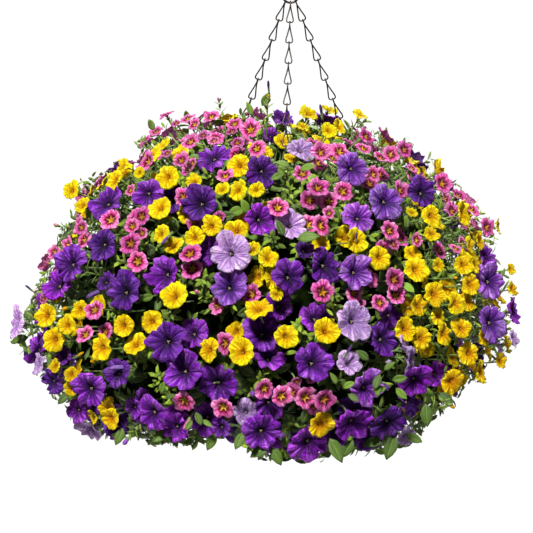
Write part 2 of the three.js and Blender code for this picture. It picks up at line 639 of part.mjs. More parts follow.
// ---------------------------------------------------------------- green growth
const SHOOT_SPIRAL = 62;
const SHOOT_WIDTH = 2.2;
const SHOOT_ROOT = 22;                   // how deep a shoot starts in the inner growth
const SHOOT_TOP = 0.97;                  // sines of the elevations that the spiral runs between
const SHOOT_SPAN = 1.72;
const SHOOT_SHIFTS = 14;
const STEEPEST = 1.5;
const SHOOT_INSET = 7;                   // shoots end this far under the mound's surface
const LEAVES = [
  { length: 42, width: 21, count: 3 },   // petunia leaves
  { length: 28, width: 10, count: 5 },   // calibrachoa leaves
];
const BACK_LEAF = 1.5;                   // leaves are larger where fewer blooms cover the growth
const LOWEST_LEAF = 0.45;                // how far along the shoot its first leaf stands
const LEAF_HALF_THICK = 0.9;
const LEAF_ROOM = LEAF_HALF_THICK + PLAY + 0.6;
const LEAF_WIDEST = 0.48;
const LEAF_DROOP = 0.1;
const LEAF_FOLD = 0.16;                  // how far the halves rise, in leaf widths
const LEAF_TRIES = 6;
const SOCKET_OVER = 4;                   // sockets run out past the growth's facets
const TUNNEL_LENGTH = 200;               // chains pass through the growth for less than this

// A leaf's corners: its base, its widest place on both sides, and its drooping tip.
function leafRing(base, direction, up, length, width) {
  const side = new THREE.Vector3().crossVectors(direction, up).normalize();
  const middle = along(base, direction, length * LEAF_WIDEST);
  const lifted = along(middle, up, width * LEAF_FOLD);
  const tip = along(along(base, direction, length), up, -length * LEAF_DROOP);
  return [base, along(lifted, side, width / 2), tip, along(lifted, side, -width / 2)];
}

function leafSolid(corners, up) {
  const middle = corners[0].clone().lerp(corners[2], 0.46);
  return loft([[along(middle, up, LEAF_HALF_THICK)], corners, [along(middle, up, -LEAF_HALF_THICK)]]);
}

// A shoot from the inner growth out to just under the mound's surface, shifted about its place
// on the spiral until it is free. In front every second one is left to the blooms.
function placeShoot(i, draw, isFree) {
  const elevation = Math.asin(SHOOT_TOP - (SHOOT_SPAN * (i + 0.5)) / SHOOT_SPIRAL);
  for (let shift = 0; shift < SHOOT_SHIFTS; shift++) {
    const azimuth = i * GOLDEN_ANGLE + 0.13 * (draw() - 0.5) * shift;
    const tip = pointOn(MOUND, azimuth, Math.min(STEEPEST, elevation + 0.1 * (draw() - 0.5) * shift));
    const up = outward(tip);
    if (i % 2 && up.dot(SIGHT) < 0) return null;
    const end = along(tip, up, -SHOOT_INSET);
    const surface = footUnder(end);
    const foot = along(surface, outward(surface), -SHOOT_ROOT);
    if (isFree(stepped([foot, end]), SHOOT_WIDTH + PLAY)) return { foot, end, up };
  }
  return null;
}

// Leaves stand round a shoot, each turned until it is free of blooms and stems.
function leavesOn({ foot, end, up }, kind, i, isFree) {
  const size = up.dot(SIGHT) < 0 ? 1 : BACK_LEAF;
  const { u, v } = squareTo(up);
  const leaves = [];
  for (let leaf = 0; leaf < kind.count; leaf++) {
    const share = LOWEST_LEAF + ((1 - LOWEST_LEAF) * leaf) / kind.count;
    const base = foot.clone().lerp(end, share);
    for (let turn = 0; turn < LEAF_TRIES; turn++) {
      const angle = leaf * GOLDEN_ANGLE + i + turn * 1.1;
      const direction = along(u.clone().multiplyScalar(Math.cos(angle)), v, Math.sin(angle));
      direction.addScaledVector(up, 0.35 + 0.5 * share).normalize();
      const face = along(up, direction, -up.dot(direction)).normalize();
      const corners = leafRing(base, direction, face, kind.length * size, kind.width * size);
      const outline = stepped([...corners, corners[0], corners[2]]);
      if (!isFree(outline, LEAF_ROOM) || !isFree(stepped([corners[1], corners[3]]), LEAF_ROOM)) continue;
      leaves.push(leafSolid(corners, face));
      break;
    }
  }
  return leaves;
}

function growLeaves(blooms, stems) {
  const draw = draws(97);
  const isFree = (path, margin) => !blooms.some((bloom) => pathMeetsCorolla(path, bloom, margin))
    && !stems.some((stem) => pathMeetsStem(path, stem, margin));
  const geometries = [];
  for (let i = 0; i < SHOOT_SPIRAL; i++) {
    const shoot = placeShoot(i, draw, isFree);
    if (!shoot) continue;
    const axis = shoot.end.clone().sub(shoot.foot).normalize();
    geometries.push(loft([[shoot.foot], ring(shoot.foot, axis, [SHOOT_WIDTH], 3), [shoot.end]]));
    geometries.push(...leavesOn(shoot, LEAVES[i % LEAVES.length], i, isFree));
  }
  return geometries;
}

function coreSolid(chains, sprays, leaves) {
  const outline = [];
  for (let step = 0; step <= CORE_STEPS; step++) {
    const { x, z } = pointOn(CORE, 0, THREE.MathUtils.degToRad(-90 + (180 * step) / CORE_STEPS));
    outline.push([step % CORE_STEPS ? x - MOUND_X : 0, z]);
  }
  const cavity = [
    [0, MOUND_WAIST_Z - MOUND.down], [CORE_CAVITY_RADIUS, MOUND_WAIST_Z - MOUND.down],
    [CORE_CAVITY_RADIUS, RIM_Z + 6], [POT_NECK_RADIUS - 8, RIM_Z + 6],
    [POT_NECK_RADIUS - 8, SOIL_TOP_Z + TOUCH], [0, SOIL_TOP_Z + TOUCH],
  ];
  const tunnels = chains.map(({ from, to }) => {
    const direction = from.clone().sub(to).normalize();
    return bar(along(to, direction, -4), along(to, direction, TUNNEL_LENGTH), CHAIN_CLEAR * Math.SQRT2, 4);
  });
  const sockets = sprays.map(({ fork }) => {
    const bottom = along(fork.low, fork.up, -TOUCH);
    return bar(bottom, along(fork.foot, fork.up, SOCKET_OVER), STALK_RADIUS + TOUCH * 2, 3);
  });
  const stemLow = SOIL_TOP_Z - STEM_DEPTH;
  const stems = STEM_SPOTS.map(([x, y]) => upright(x, y, stemLow, SOIL_TOP_Z + 20, STEM_RADIUS));
  const whole = solidOf(turned(outline, CORE_SIDES, MOUND_X));
  const body = cutFrom(whole, [turned(cavity, CORE_SIDES), ...tunnels]);
  return cutFrom(body.add(joined([...stems, ...leaves])), sockets);
}

// ---------------------------------------------------------------- pot, soil, hook and chains
const potRadiusAt = (z) => {
  const share = (z - (RIM_Z - POT_HEIGHT)) / (POT_HEIGHT - RIM_THICK);
  return POT_BASE_RADIUS + (POT_NECK_RADIUS - POT_BASE_RADIUS) * share;
};
const lugPoint = (azimuth, z) => {
  const angle = THREE.MathUtils.degToRad(azimuth);
  return vec(LUG_RADIUS * Math.cos(angle), LUG_RADIUS * Math.sin(angle), z);
};

function potSolid() {
  const base = RIM_Z - POT_HEIGHT;
  const floor = base + POT_WALL;
  const under = RIM_Z - RIM_THICK;
  const outside = [[0, base], [POT_BASE_RADIUS, base], [potRadiusAt(under), under], [RIM_RADIUS, under]];
  const inside = [[potRadiusAt(RIM_Z) - POT_WALL, RIM_Z], [potRadiusAt(floor) - POT_WALL, floor], [0, floor]];
  const outline = [...outside, [RIM_RADIUS, RIM_Z], ...inside];
  const holes = Object.values(CHAIN_AZIMUTHS).map((azimuth) => bar(lugPoint(azimuth, RIM_Z - 9),
    lugPoint(azimuth, RIM_Z + 9), LUG_HOLE / Math.SQRT2, 4));
  for (let i = 0; i < 4; i++) {
    const angle = (Math.PI / 2) * (i + 0.5);
    const [x, y] = [DRAIN_CIRCLE * Math.cos(angle), DRAIN_CIRCLE * Math.sin(angle)];
    holes.push(upright(x, y, base - 5, floor + 5, DRAIN_RADIUS));
  }
  return cutFrom(solidOf(turned(outline, POT_SIDES)), holes);
}

function soilSolid() {
  const floor = RIM_Z - POT_HEIGHT + POT_WALL + TOUCH;
  const gap = POT_WALL + TOUCH * 1.2;
  const side = [floor, SOIL_TOP_Z].map((z) => [potRadiusAt(z) - gap, z]);
  const outline = [[0, floor], ...side, [0, SOIL_TOP_Z]];
  const low = SOIL_TOP_Z - STEM_DEPTH - TOUCH;
  const wide = STEM_RADIUS + TOUCH * 1.3;
  const holes = STEM_SPOTS.map(([x, y]) => upright(x, y, low, SOIL_TOP_Z + 5, wide));
  return cutFrom(solidOf(turned(outline, POT_SIDES)), holes);
}

// A round wire along a plane arc or line, as an extrusion along its path.
function wire(curve, radius, sides, steps) {
  const corners = ring(vec(0, 0, 0), Z_AXIS, [radius], sides).map(({ x, y }) => new THREE.Vector2(x, y));
  const section = new THREE.Shape(corners);
  return new THREE.ExtrudeGeometry(section, { extrudePath: curve, steps, bevelEnabled: false });
}

// Points of the hook's arc: from its foot round one side, over the top and down to its open tip.
const HOOK_ARC = { start: -90, end: 200, steps: 11 };
function hookPath() {
  const reach = HOOK_RADIUS + HOOK_WIRE;
  const points = [];
  for (let i = 0; i <= HOOK_ARC.steps; i++) {
    const degrees = THREE.MathUtils.lerp(HOOK_ARC.start, HOOK_ARC.end, i / HOOK_ARC.steps);
    const angle = THREE.MathUtils.degToRad(degrees);
    points.push(vec(reach * Math.cos(angle), 0, -HOOK_RADIUS + reach * Math.sin(angle)));
  }
  return new THREE.CatmullRomCurve3(points);
}

function hookSolid() {
  const eye = new THREE.TorusGeometry(EYE_RADIUS, EYE_WIRE, 6, 14).rotateX(Math.PI / 2);
  eye.translate(0, 0, EYE_Z + EYE_RADIUS);
  return joined([eye, wire(hookPath(), HOOK_WIRE, 6, 13)]);
}

const EYE_SPREAD = { left: -38, front: 0, right: 38 };   // where each chain hangs on the eye, degrees
function chainLine(name) {
  const turn = THREE.MathUtils.degToRad(EYE_SPREAD[name]);
  const from = vec(EYE_RADIUS * Math.sin(turn), 0, EYE_Z + EYE_RADIUS * (1 - Math.cos(turn)));
  const to = lugPoint(CHAIN_AZIMUTHS[name], RIM_Z + 3);
  const tangent = vec(Math.cos(turn), 0, Math.sin(turn));
  return { from, to, tangent };
}

// One bent wire link: narrow where it hangs on the link above, wide where it carries the next.
const LINK_NARROW = 2.7;
const LINK_WIDE = 5.6;
const LINK_APART = 1.0;                  // between the middles of two links' wires where they bear
function linkSolid(top, down, side) {
  const length = LINK_PITCH + LINK_APART;
  const corners = [[0, -1], [0, 1], [length, 1], [length, -1]];
  const points = corners.map(([drop, across], i) => {
    const half = i < 2 ? LINK_NARROW : LINK_WIDE;
    return along(along(top, down, drop), side, across * half);
  });
  const middle = along(top, down, length / 2);
  const normal = new THREE.Vector3().crossVectors(down, side);
  const loops = points.map((point, i) => {
    const before = points.at(i - 1);
    const after = points[(i + 1) % points.length];
    const leaving = after.clone().sub(point).normalize();
    const axis = point.clone().sub(before).normalize().add(leaving).normalize();
    const out = new THREE.Vector3().crossVectors(axis, normal).normalize();
    if (out.dot(point.clone().sub(middle)) > 0) out.negate();
    return [0, 1, 2].map((k) => {
      const angle = (2 * Math.PI * k) / 3;
      return along(along(point, out, LINK_WIRE * Math.cos(angle)), normal, LINK_WIRE * Math.sin(angle));
    });
  });
  return closedLoop(loops);
}

// A ring-shaped solid through equal rings of points, the last joined to the first.
function closedLoop(loops) {
  const count = loops[0].length;
  const triangles = [];
  loops.forEach((_, i) => {
    const [here, next] = [i * count, ((i + 1) % loops.length) * count];
    for (let k = 0; k < count; k++) {
      const k2 = (k + 1) % count;
      triangles.push(here + k, here + k2, next + k, here + k2, next + k2, next + k);
    }
  });
  return facedOut(loops.flat(), triangles);
}

// Below its links a chain ends in a wire leg that drops through the rim and turns under it.
const CLIP_WIRE = 1.5;
const CLIP_FOOT = 7;                     // half length of the wire under the rim
function chainSolid(name) {
  const { from, to, tangent } = chainLine(name);
  const down = to.clone().sub(from).normalize();
  const across = new THREE.Vector3().crossVectors(down, tangent).normalize();
  const first = along(from, down, -(EYE_WIRE + TOUCH + LINK_WIRE));
  const pieces = [];
  for (let i = 0; i < LINK_COUNT; i++) {
    const side = i % 2 ? new THREE.Vector3().crossVectors(down, across) : across;
    pieces.push(linkSolid(along(first, down, i * LINK_PITCH), down, side));
  }
  const last = along(first, down, LINK_COUNT * LINK_PITCH + LINK_APART - 1);
  const foot = lugPoint(CHAIN_AZIMUTHS[name], RIM_Z - RIM_THICK - TOUCH - CLIP_WIRE);
  const sideways = vec(-foot.y, foot.x, 0).normalize();
  pieces.push(bar(last, along(to, down, 1), CLIP_WIRE, 4));
  pieces.push(bar(to, along(foot, Z_AXIS, -0.5), CLIP_WIRE, 4));
  pieces.push(bar(along(foot, sideways, -CLIP_FOOT), along(foot, sideways, CLIP_FOOT), CLIP_WIRE, 4));
  return joined(pieces);
}

// ---------------------------------------------------------------- the basket
const FINISHES = {
  pot: { color: 0x2e2f2c, roughness: 0.55, metalness: 0 },
  soil: { color: 0x3a2a1e, roughness: 1, metalness: 0 },
  wire: { color: 0x2b2723, roughness: 0.4, metalness: 0.8 },
  leaf: { color: 0x4e7a2a, roughness: 0.6, metalness: 0 },
};
const materials = Object.fromEntries(Object.entries(FINISHES).map(([name, finish]) => [
  name, new THREE.MeshStandardMaterial(finish)]));
for (const [kind, { colour }] of Object.entries(KINDS)) {
  materials[kind] = new THREE.MeshStandardMaterial({ color: colour, roughness: 0.6, metalness: 0 });
}

const basket = new THREE.Group();
function addPiece(name, solid, material) {
  const mesh = new THREE.Mesh(geometryOf(solid), materials[material]);
  mesh.name = name;
  basket.add(mesh);
}

const chainNames = Object.keys(CHAIN_AZIMUTHS);
const chainLines = chainNames.map(chainLine);
const chainWays = chainLines.map(({ from, to }) => stemOf(from, to, CHAIN_CLEAR - 1, 'chain'));
const blooms = settle([...bloomsInFront(), ...bloomsBehind()], chainWays);
const { sprays, stems } = growSprays(blooms, chainWays);
const bearing = sprays.filter((spray) => spray.members.length);

addPiece('hanger_hook', hookSolid(), 'wire');
for (const name of chainNames) addPiece(`hanger_chain_${name}`, chainSolid(name), 'wire');
addPiece('pot', potSolid(), 'pot');
addPiece('potting_soil', soilSolid(), 'soil');
addPiece('green_growth', coreSolid(chainLines, bearing, growLeaves(blooms, stems)), 'leaf');
for (const spray of bearing) addPiece(spray.name, spraySolid(spray), spray.kind);

export default basket;
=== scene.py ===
# Mixed petunia hanging basket, dressed over its CAD frame. Lengths are worked out in millimetres
# and made metres as each mesh is finished. The origin is the hang point, the front faces -Y.
import bmesh
import bpy
import math
import numpy as np
import random
from mathutils import Matrix, Vector
from mathutils.kdtree import KDTree


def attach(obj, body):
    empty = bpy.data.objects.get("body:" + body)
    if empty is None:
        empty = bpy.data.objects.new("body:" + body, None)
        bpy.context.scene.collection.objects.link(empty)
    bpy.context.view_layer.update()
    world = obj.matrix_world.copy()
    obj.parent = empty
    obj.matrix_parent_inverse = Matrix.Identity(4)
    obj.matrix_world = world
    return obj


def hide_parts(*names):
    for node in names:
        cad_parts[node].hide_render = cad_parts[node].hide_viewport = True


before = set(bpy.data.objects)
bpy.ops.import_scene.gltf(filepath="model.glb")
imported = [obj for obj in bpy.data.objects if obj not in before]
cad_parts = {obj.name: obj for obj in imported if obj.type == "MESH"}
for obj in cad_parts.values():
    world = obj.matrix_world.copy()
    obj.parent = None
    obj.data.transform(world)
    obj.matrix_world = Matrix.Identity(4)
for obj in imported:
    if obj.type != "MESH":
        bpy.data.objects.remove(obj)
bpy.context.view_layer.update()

MM = 0.001
TURN = 2 * math.pi
GOLDEN_ANGLE = math.pi * (3 - math.sqrt(5))
X_AXIS = np.array((1.0, 0.0, 0.0))
Z_AXIS = np.array((0.0, 0.0, 1.0))

# ---- sizes shared with the CAD, mm
RIM_Z = -390
POT_HEIGHT = 150
POT_BASE_RADIUS = 104
POT_WALL = 2.4
POT_NECK_RADIUS = 140
RIM_RADIUS = 156
RIM_THICK = 3
CHAIN_AZIMUTHS = {"left": 145, "front": 265, "right": 25}
LUG_RADIUS = 148
EYE_Z = -60
EYE_RADIUS = 11
EYE_WIRE = 1.6
HOOK_RADIUS = 19
HOOK_WIRE = 2.2
LINK_PITCH = 29
MOUND_X = -35
MOUND_WAIST_Z = -495
MOUND = {"radius": 345, "up": 290, "down": 190, "power": 2.2}
CORE = {"radius": 268, "up": 196, "down": 135, "power": 2.2}
CORE_CAVITY_RADIUS = 166
AXIS_TOP = -360
AXIS_LOW = -530

# ---- the camera, at the photograph's angle
FRONT_CENTRE = np.array((-32.0, 0.0, -416.0))
FRONT_DISTANCE = 2600
FRONT_RISE = math.radians(9)
FRONT_MIDDLE = 266.5
FRONT_PIXEL = 1.3624
SIGHT = np.array((0.0, math.cos(FRONT_RISE), -math.sin(FRONT_RISE)))
SIGHT_UP = np.array((0.0, math.sin(FRONT_RISE), math.cos(FRONT_RISE)))
EYE_POINT = FRONT_CENTRE - SIGHT * FRONT_DISTANCE

camera_data = bpy.data.cameras.new("front_camera")
camera_data.sensor_width = 36
camera_data.lens = camera_data.sensor_width / 2 * FRONT_DISTANCE / (FRONT_MIDDLE * FRONT_PIXEL)
camera = bpy.data.objects.new("front_camera", camera_data)
camera.location = Vector(EYE_POINT) * MM
camera.rotation_euler = (math.pi / 2 - FRONT_RISE, 0, 0)
bpy.context.scene.collection.objects.link(camera)
bpy.context.scene.camera = camera

# ---- where the blooms show from the front
# Each bloom is across, down, width, height and set back, as in the CAD.
PETUNIA = {"diameter": 49, "cup": 8, "shell": 11}
KINDS = {
    "purple": {**PETUNIA, "node": "purple_petunia_spray"},
    "violet": {**PETUNIA, "node": "violet_petunia_spray"},
    "lavender": {**PETUNIA, "node": "lavender_petunia_spray"},
    "yellow": {"diameter": 33, "cup": 6, "shell": 7, "node": "yellow_calibrachoa_spray"},
    "pink": {"diameter": 28, "cup": 4, "shell": 7, "node": "pink_calibrachoa_spray"},
}
SEEN = {
    "purple": [
        (213, 156, 33, 21), (263, 170, 30, 32), (147, 192, 31, 30), (106, 202, 34, 27), (200, 203, 34, 35),
        (261, 219, 26, 32), (423, 192, 32, 31), (102, 244, 30, 32), (69, 264, 30, 37), (57, 284, 34, 26),
        (123, 292, 33, 37), (105, 281, 20, 14), (164, 274, 28, 36), (209, 250, 15, 28), (327, 265, 25, 38),
        (291, 277, 24, 34), (280, 306, 25, 28), (304, 250, 15, 12), (316, 317, 34, 25), (391, 315, 20, 25),
        (384, 339, 25, 34), (263, 333, 38, 34), (165, 341, 36, 42), (193, 333, 30, 27), (183, 371, 36, 38),
        (217, 385, 38, 36), (269, 356, 33, 15), (313, 362, 36, 32), (515, 311, 15, 29), (488, 256, 20, 24),
        (89, 390, 35, 35), (117, 373, 25, 28), (63, 355, 18, 18), (51, 382, 20, 26), (77, 411, 24, 24),
        (133, 408, 15, 20), (151, 414, 27, 36), (175, 428, 27, 30), (262, 433, 36, 36), (270, 404, 28, 30),
        (309, 444, 39, 36), (353, 424, 37, 27), (389, 424, 36, 28), (416, 381, 35, 30), (437, 374, 20, 25),
        (284, 118, 24, 20, 130), (271, 135, 14, 13, 120), (221, 428, 16, 17),
    ],
    "violet": [
        (353, 167, 34, 33), (386, 200, 37, 34), (359, 217, 32, 28), (228, 287, 35, 33), (356, 272, 30, 33),
        (492, 281, 34, 38), (493, 322, 35, 37), (367, 389, 28, 36),
    ],
    "lavender": [
        (301, 148, 30, 22), (229, 253, 37, 38), (291, 224, 31, 27), (15, 322, 19, 35), (37, 364, 12, 22),
        (89, 431, 28, 18), (245, 414, 27, 26), (349, 363, 24, 20), (355, 321, 33, 38), (406, 437, 18, 20),
        (514, 338, 12, 18),
    ],
    "yellow": [
        (162, 145, 17, 8), (167, 176, 23, 23), (239, 165, 23, 23), (160, 207, 24, 18), (114, 180, 15, 22),
        (122, 166, 9, 16), (139, 172, 10, 10), (194, 181, 16, 14), (222, 189, 15, 10), (237, 190, 15, 20),
        (256, 189, 16, 14), (211, 226, 19, 20), (194, 237, 20, 18), (236, 230, 23, 20), (160, 234, 14, 18),
        (173, 245, 20, 12), (309, 113, 21, 18, 60), (329, 109, 18, 13, 60), (329, 130, 17, 17, 30),
        (340, 127, 12, 17, 30), (361, 114, 17, 12), (303, 126, 12, 9, 60), (283, 141, 16, 17, 110),
        (291, 158, 15, 8, 70), (269, 210, 21, 14), (71, 190, 20, 20), (82, 205, 17, 15), (432, 216, 21, 22),
        (432, 233, 16, 12), (464, 214, 20, 34), (499, 227, 8, 16), (480, 241, 10, 19), (471, 246, 8, 18),
        (413, 253, 19, 12), (416, 269, 24, 22), (380, 257, 23, 23), (439, 265, 13, 14), (464, 264, 20, 18),
        (476, 264, 10, 16), (511, 269, 9, 10), (471, 284, 20, 21), (513, 289, 12, 15), (435, 294, 21, 24),
        (457, 303, 19, 22), (469, 301, 12, 20), (409, 307, 17, 19), (419, 306, 16, 20), (439, 316, 14, 17),
        (462, 328, 21, 19), (445, 334, 14, 22), (406, 329, 20, 23), (422, 338, 21, 22), (485, 337, 14, 17),
        (470, 353, 22, 23), (508, 344, 8, 19), (501, 361, 13, 16), (482, 372, 12, 24), (453, 382, 25, 26),
        (46, 315, 23, 23), (54, 339, 24, 24), (67, 325, 20, 20), (79, 309, 17, 19), (57, 297, 13, 9),
        (123, 325, 21, 21), (101, 347, 20, 24), (135, 344, 23, 15), (55, 366, 12, 14), (71, 374, 15, 15),
        (71, 389, 15, 15), (110, 419, 19, 21), (93, 417, 8, 14), (174, 296, 27, 24), (253, 249, 14, 12),
        (268, 258, 19, 15), (257, 276, 13, 21), (275, 278, 18, 22), (277, 294, 13, 11), (258, 308, 25, 10),
        (236, 331, 16, 18), (241, 352, 23, 27), (208, 350, 15, 22), (286, 336, 22, 22), (326, 331, 25, 22),
        (322, 244, 18, 13), (357, 240, 18, 24), (321, 425, 22, 24), (412, 212, 12, 8),
    ],
    "pink": [
        (166, 114, 17, 9), (187, 118, 18, 13), (194, 124, 12, 14), (176, 123, 10, 9), (211, 116, 18, 14),
        (234, 123, 17, 13), (250, 129, 21, 22), (156, 131, 15, 10), (190, 141, 18, 14), (232, 131, 12, 9),
        (237, 142, 14, 12), (203, 135, 11, 10), (214, 140, 12, 8), (256, 148, 16, 18), (147, 161, 15, 24),
        (181, 160, 17, 14), (192, 163, 8, 12), (167, 153, 10, 8), (182, 197, 14, 19), (110, 219, 23, 20),
        (141, 216, 18, 18), (132, 226, 15, 15), (194, 222, 17, 17), (219, 217, 12, 12), (225, 175, 18, 8),
        (130, 190, 9, 12), (321, 152, 18, 19), (340, 151, 20, 19), (367, 136, 14, 18), (391, 154, 18, 18),
        (381, 157, 16, 9), (405, 149, 18, 19), (374, 174, 13, 17), (318, 187, 24, 16), (310, 200, 20, 20),
        (343, 191, 20, 20), (278, 207, 20, 18), (329, 213, 12, 12), (322, 225, 14, 26), (443, 183, 22, 23),
        (459, 195, 18, 11), (472, 209, 20, 12), (401, 190, 14, 18), (412, 168, 12, 8), (488, 227, 18, 20),
        (390, 230, 16, 20), (394, 244, 12, 8), (417, 240, 12, 14), (395, 279, 20, 22), (396, 295, 20, 16),
        (380, 302, 17, 14), (456, 248, 14, 6), (81, 227, 15, 15), (54, 252, 14, 15), (130, 243, 21, 20),
        (137, 261, 21, 21), (142, 233, 12, 12), (43, 299, 10, 9), (94, 309, 20, 15), (85, 334, 19, 13),
        (105, 331, 16, 15), (189, 253, 24, 15), (192, 268, 25, 20), (251, 294, 12, 21), (217, 305, 11, 18),
        (371, 279, 12, 17), (323, 292, 22, 22), (354, 293, 17, 17), (359, 303, 14, 10), (224, 343, 17, 28),
        (184, 402, 22, 17), (223, 408, 24, 20), (265, 389, 17, 19), (282, 397, 19, 20), (306, 398, 20, 24),
        (325, 400, 20, 22), (297, 382, 10, 9), (311, 378, 10, 10),
    ],
}
BACK_SPIRAL = 110  # blooms on the spiral round the back, with their kinds' shares
BACK_SHARES = {"purple": 0.24, "violet": 0.07, "lavender": 0.08, "yellow": 0.33, "pink": 0.28}
BACK_TOP = 0.93  # the sine of its highest place, and how far that falls
BACK_SPAN = 1.5
BACK_EDGE = 0.08  # how far a place faces away to count as behind
BACK_SIZES = (0.8, 1.05)  # of the kind's usual width
BACK_LIFT = (0.1, 0.5)
BACK_TURN = 0.9
FACED = 0.8  # a bloom's facing is that of its outline, and partly outward
OUT_FACED = 0.35
MOUND_COLUMN = 260  # blooms left and right of it look left and right
LOOK_DOWN = 380  # blooms below this pixel row look down
SEEN_FULL = 1.04
LEAST_AHEAD = 0.06
SIZE_SPAN = (0.5, 1.06)  # of the kind's usual width
SIGHT_REACH = 460
SET_BACK = 5
SET_BACK_STEPS = 9
STEEP = 0.9  # an axis that rises more than this counts as upright


# ---- the mound's shape
def unit(vector):
    return vector / np.linalg.norm(vector)


def level_in(body, points):
    """Below 0 inside a rounded body about the mound's axis, above 0 outside it."""
    points = np.asarray(points, float)
    rise = points[..., 2] - MOUND_WAIST_Z
    height = np.where(rise > 0, body["up"], body["down"])
    out = np.hypot(points[..., 0] - MOUND_X, points[..., 1]) / body["radius"]
    return out ** body["power"] + (np.abs(rise) / height) ** body["power"] - 1


def point_on(body, azimuth, elevation):
    out = math.cos(elevation)
    rise = math.sin(elevation)
    height = body["up"] if rise > 0 else body["down"]
    level = (out / body["radius"]) ** body["power"] + (abs(rise) / height) ** body["power"]
    reach = level ** (-1 / body["power"])
    direction = np.array((out * math.cos(azimuth), out * math.sin(azimuth), rise))
    return np.array((MOUND_X, 0, MOUND_WAIST_Z)) + direction * reach


def outward(point):
    """The way out of the growth at a point: straight away from the middle of the mound."""
    return unit(point - np.array((MOUND_X, 0, min(AXIS_TOP, max(AXIS_LOW, point[2])))))


def square_to(axis):
    """Two unit directions square to an axis and to each other."""
    other = Z_AXIS if abs(axis[2]) < STEEP else X_AXIS
    u = unit(np.cross(other, axis))
    return u, np.cross(axis, u)


# The outline of the growth from the front, which leaves keep inside but for a few sprigs.
OUTLINE = np.array([
    (218, 102), (190, 108), (150, 115), (137, 136), (135, 165), (122, 158), (108, 170), (90, 178),
    (72, 180), (74, 205), (66, 225), (56, 243), (46, 262), (40, 282), (28, 300), (12, 320), (14, 342),
    (32, 362), (43, 382), (66, 402), (76, 422), (94, 440), (128, 434), (150, 442), (190, 445), (230, 438),
    (262, 458), (310, 460), (350, 450), (390, 454), (412, 441), (432, 418), (452, 400), (472, 382),
    (492, 362), (510, 350), (520, 325), (518, 290), (511, 266), (494, 258), (497, 240), (496, 218),
    (486, 198), (466, 178), (437, 158), (411, 138), (372, 118), (340, 100), (300, 96), (262, 96),
])
MIDDLE = OUTLINE.mean(0)
LEVEL = 1e-9  # stands for the rise of a level edge


def project(points):
    """Where points show in the front view, in pixels."""
    offset = points - EYE_POINT
    scale = FRONT_DISTANCE / FRONT_PIXEL / (offset @ SIGHT)
    across = FRONT_MIDDLE + offset[:, 0] * scale
    return np.stack((across, FRONT_MIDDLE - (offset @ SIGHT_UP) * scale), axis=1)


def in_outline(spots, grown=0.0):
    """Whether all spots of the front view lie in the outline, made larger about its middle."""
    corners = (OUTLINE - MIDDLE) * (1 + grown) + MIDDLE
    after = np.roll(corners, -1, axis=0)
    x, y = spots[:, None, 0], spots[:, None, 1]
    spans = (corners[None, :, 1] > y) != (after[None, :, 1] > y)
    rise = np.where(after[:, 1] == corners[:, 1], LEVEL, after[:, 1] - corners[:, 1])
    cross = corners[:, 0] + (y - corners[:, 1]) / rise * (after[:, 0] - corners[:, 0])
    return bool(np.all((spans & (x < cross)).sum(1) % 2 == 1))


def in_view(degrees, ahead):
    """A direction by its heading in the front view, which leans towards the camera."""
    heading = math.radians(degrees)
    return X_AXIS * math.cos(heading) + SIGHT_UP * math.sin(heading) - SIGHT * ahead


# ---- blooms: place and facing
def seen_on_mound(across, down):
    """Where a pixel's line of sight meets the mound, or passes nearest to it."""
    line = SIGHT + X_AXIS * ((across - FRONT_MIDDLE) * FRONT_PIXEL / FRONT_DISTANCE)
    line = line + SIGHT_UP * ((FRONT_MIDDLE - down) * FRONT_PIXEL / FRONT_DISTANCE)
    steps = np.arange(FRONT_DISTANCE - SIGHT_REACH, FRONT_DISTANCE + SIGHT_REACH, 1.0)
    levels = level_in(MOUND, EYE_POINT + steps[:, None] * line)
    inside = np.flatnonzero(levels < 0)
    best = inside[0] if len(inside) else int(np.argmin(levels))
    return EYE_POINT + line * steps[best], unit(line)


def facing_from_outline(across, down, width, height):
    """A round bloom of a known width looks narrower or lower the more it turns away."""
    full = max(width, height) * SEEN_FULL
    side = math.sqrt(1 - (width / full) ** 2) * np.sign(across - MOUND_COLUMN)
    lift = math.sqrt(1 - (height / full) ** 2) * (1 if down < LOOK_DOWN else -1)
    ahead = math.sqrt(max(LEAST_AHEAD, 1 - side * side - lift * lift))
    return -SIGHT * ahead + X_AXIS * side + SIGHT_UP * lift


def make_bloom(kind, at, facing, back, diameter):
    scale = diameter / KINDS[kind]["diameter"]
    bloom = {"kind": kind, "at": at, "facing": unit(facing), "back": back, "radius": diameter / 2}
    bloom["cup"] = KINDS[kind]["cup"] * scale
    bloom["shell"] = KINDS[kind]["shell"] * scale
    return bloom


def blooms_in_front():
    blooms = []
    for kind, places in SEEN.items():
        for across, down, width, height, *behind in places:
            at, line = seen_on_mound(across, down)
            facing = facing_from_outline(across, down, width, height) * FACED + outward(at) * OUT_FACED
            least, greatest = (size * KINDS[kind]["diameter"] for size in SIZE_SPAN)
            diameter = max(least, min(greatest, max(width, height) * FRONT_PIXEL))
            blooms.append(make_bloom(kind, at + line * sum(behind), facing, line, diameter))
    return blooms


def draws(seed):
    """Seeded draws from 0 to 1, the same as the CAD's."""
    state = seed
    while True:
        state = state * 16807 % 2147483647
        yield state / 2147483647


def kind_of_share(share):
    total = 0
    for kind, part in BACK_SHARES.items():
        total += part
        if total > share:
            return kind
    return kind


def bloom_behind(at, share, size, lean, turn):
    out = outward(at)
    kind = kind_of_share(share)
    lift = Z_AXIS * (BACK_LIFT[0] + BACK_LIFT[1] * lean)
    facing = out + lift + square_to(out)[0] * BACK_TURN * (turn - 0.5)
    diameter = KINDS[kind]["diameter"] * (BACK_SIZES[0] + (BACK_SIZES[1] - BACK_SIZES[0]) * size)
    return make_bloom(kind, at, facing, -out, diameter)


